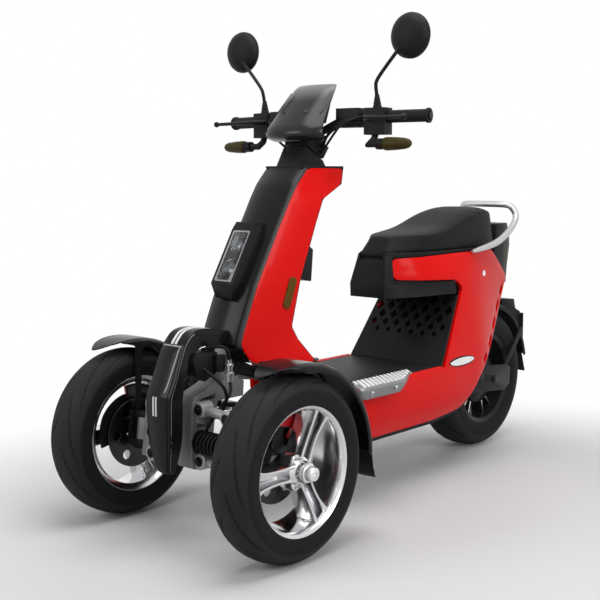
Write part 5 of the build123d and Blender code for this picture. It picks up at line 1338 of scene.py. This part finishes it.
INDICATOR = [(0, 0), (0, 16), (3, 17.6), (12, 18), (38, 17), (66, 14.5), (77, 11.5), (83, 7), (84, 0)]
lenses = []
for side in (1, -1):
    lenses.append(lathe("indicator", INDICATOR, (236.5, side * 257, 1014), (0, side, 0), smoked_amber, 40, 60))
mounted(joined("indicators", lenses), "handlebar", "amber_lens", "indicator_lenses")


# Instrument cowl: a gunmetal visor in front of the bar, creased along its top and its lower edge, with a
# painted highlight that lightens its top band, a near-black strip near each side that is painted shade for a slot, and
# two screws. A small display stands behind it.
gunmetal = Finish("gunmetal", (0.016, 0.016, 0.017), 0.22, {"Specular IOR Level": 0.2})
gunmetal.surfaced(None, 0.08, 10, 900, 0.0001)
# Painted highlight: the colour turns from near black to light grey towards the cowl's top, standing in for the light on
# its top band.
cowl_height = gunmetal.add("ShaderNodeSeparateXYZ", (), {"Vector": gunmetal.place}, "Z")
painted_top_highlight = gunmetal.add(
    "ShaderNodeMapRange",
    {"interpolation_type": "SMOOTHSTEP"},
    {"Value": cowl_height, "From Min": 1.13, "From Max": 1.185},
)
gunmetal.feed("Base Color", gunmetal.mix(painted_top_highlight, (0.014, 0.014, 0.015, 1), (0.16, 0.16, 0.165, 1)))
COWL = (
    # z, middle x, half width, fall back at the edge
    (1184, 228, 68, 22),
    (1180, 237, 72, 24),
    (1171, 248, 77, 26),
    (1168, 250, 78, 26),
    (1140, 279, 84, 32),
    (1100, 316, 93, 38),
    (1066, 346, 101, 42),
    (1063, 348, 102, 42),
    (1052, 354, 105, 44),
    (1040, 357, 105, 46),
    (1032, 350, 103, 46),
    (1026, 336, 96, 44),
    (1022, 318, 88, 40),
)


def cowl_at(z, share, lift=0.0):
    """Point of the cowl's face at a height and a share of its half width."""
    for (top, *upper), (foot, *lower) in zip(COWL, COWL[1:]):
        if foot <= z <= top:
            t = (top - z) / (top - foot)
            middle, half, fall = [a + (b - a) * t for a, b in zip(upper, lower)]
            back = fall * share**2 * (0.6 + 0.4 * share**4)
            return Vector((middle - back + lift, (half + lift * abs(share)) * share, z + lift * 0.6))


cowl_rings = [[cowl_at(row[0], (k - 8) / 8) for k in range(17)] for row in COWL]
cowl_shell = skin("cowl_shell", cowl_rings, gunmetal, closed=False, facing=(1, 0, 0.6), sharp=60)
settled(cowl_shell, walled(4), smoothed(1), sharp=45)
# Near-black finish of the slot strips, painted shade where a slot would be dark inside, and of the two screws.
slot_shade_and_screw_black = Finish("slot_shade_and_screw_black", (0.003, 0.003, 0.003), 0.6).surfaced((0.005, 0.005, 0.005), 0.1, 30, 900, 0.0002)
mounted(cowl_shell, "handlebar", "gunmetal_gloss", "cowl")
COWL_SCREW = [(-1, 6), (1.4, 6), (2, 5), (0.6, 3), (0.6, 0)]
slots = []
for side in (1, -1):
    # Each slot is a thin near-black strip laid on the face: painted shade, not an opening.
    rings = []
    for step in range(9):
        z, share = 1162 - 8 * step, side * (0.93 - 0.009 * step)
        half = 0.055 * math.sin(math.pi * (step + 0.6) / 9.2)
        corner = ((-half, 0), (-half, 1.6), (half, 1.6), (half, 0))
        rings.append([cowl_at(z, share + side * d, lift) for d, lift in corner])
    slots.append(skin("slot", rings, slot_shade_and_screw_black))
    slots.append(lathe("cowl_screw", COWL_SCREW, cowl_at(1104, 0.45 * side), (1, 0.3 * side, 0.9), slot_shade_and_screw_black, 20))
mounted(joined("cowl_slots", slots), "handlebar", "black_plastic")
softened("display", black_plastic, "handlebar", "black_plastic", 3, 3)


# Stage: a pale floor that fades into a white room, soft light from above, from the side and from the front,
# and the camera in front of the left wheel.
floor_finish = Finish("stage_floor", (0.56, 0.56, 0.565), 0.6)
SHADE_MIDDLE, FLOOR_HALF = (0.3, 0.45, 0.0), 6000
floor_reach = floor_finish.add(
    "ShaderNodeVectorMath", {"operation": "DISTANCE"}, {0: floor_finish.place, 1: SHADE_MIDDLE}, "Value"
)
fade = floor_finish.add(
    "ShaderNodeMapRange", {"interpolation_type": "SMOOTHSTEP"}, {"Value": floor_reach, "From Min": 0.9, "From Max": 1.9}
)
clear_floor = floor_finish.add("ShaderNodeBsdfTransparent")
solid_floor = Value(floor_finish, floor_finish.shader.outputs[0])
floor_mix = floor_finish.add("ShaderNodeMixShader", (), {0: fade, 1: solid_floor, 2: clear_floor})
floor_finish.link(floor_finish.tree.nodes["Material Output"].inputs["Surface"], floor_mix)
floor_points = [(x * FLOOR_HALF, y * FLOOR_HALF, 0) for x, y in ((-1, -1), (1, -1), (1, 1), (-1, 1))]
floor = made("stage_floor", floor_points, [(0, 1, 2, 3)], floor_finish, facing=(0, 0, 1))

world = bpy.data.worlds.new("studio")
bpy.context.scene.world = world
world.use_nodes = True
nodes, links = world.node_tree.nodes, world.node_tree.links
sky = nodes["Background"]
sky.inputs["Color"].default_value = (1, 1, 1, 1)
path = nodes.new("ShaderNodeLightPath")
seen = path.outputs["Is Camera Ray"]
for ray in ("Is Glossy Ray", "Is Transmission Ray"):
    either = nodes.new("ShaderNodeMath")
    either.operation = "MAXIMUM"
    links.new(seen, either.inputs[0])
    links.new(path.outputs[ray], either.inputs[1])
    seen = either.outputs[0]
level = nodes.new("ShaderNodeMapRange")
level.inputs["To Min"].default_value = 0.26
level.inputs["To Max"].default_value = 1.0
links.new(seen, level.inputs["Value"])
links.new(level.outputs[0], sky.inputs["Strength"])

LAMPS = (
    # name, place, aim, width, height, power
    ("top_softbox", (0.4, 0.6, 3.4), (0, 0, 0.3), 2.6, 2.0, 85),
    ("side_softbox", (0.6, 3.2, 1.9), (0, 0, 0.5), 2.0, 1.6, 62),
    ("front_softbox", (3.4, -1.2, 1.8), (0.2, 0, 0.5), 1.6, 1.8, 44),
)
for name, place, aim, width, height, power in LAMPS:
    lamp = bpy.data.lights.new(name, "AREA")
    lamp.shape = "RECTANGLE"
    lamp.size, lamp.size_y, lamp.energy = width, height, power
    holder = bpy.data.objects.new(name, lamp)
    bpy.context.collection.objects.link(holder)
    holder.location = place
    holder.rotation_euler = (Vector(aim) - Vector(place)).to_track_quat("-Z", "Y").to_euler()

CAMERA_PLACE = Vector((2.56319, 1.99122, 0.93264))
CAMERA_AIM = Vector((0.1674, -0.1032, 0.5627))
lens = bpy.data.cameras.new("camera")
lens.lens = 64.69
lens.sensor_width = 36.0
camera = bpy.data.objects.new("camera", lens)
bpy.context.collection.objects.link(camera)
camera.location = CAMERA_PLACE
camera.rotation_euler = (CAMERA_AIM - CAMERA_PLACE).to_track_quat("-Z", "Y").to_euler()
bpy.context.scene.camera = camera
bpy.context.scene.view_settings.view_transform = "Standard"
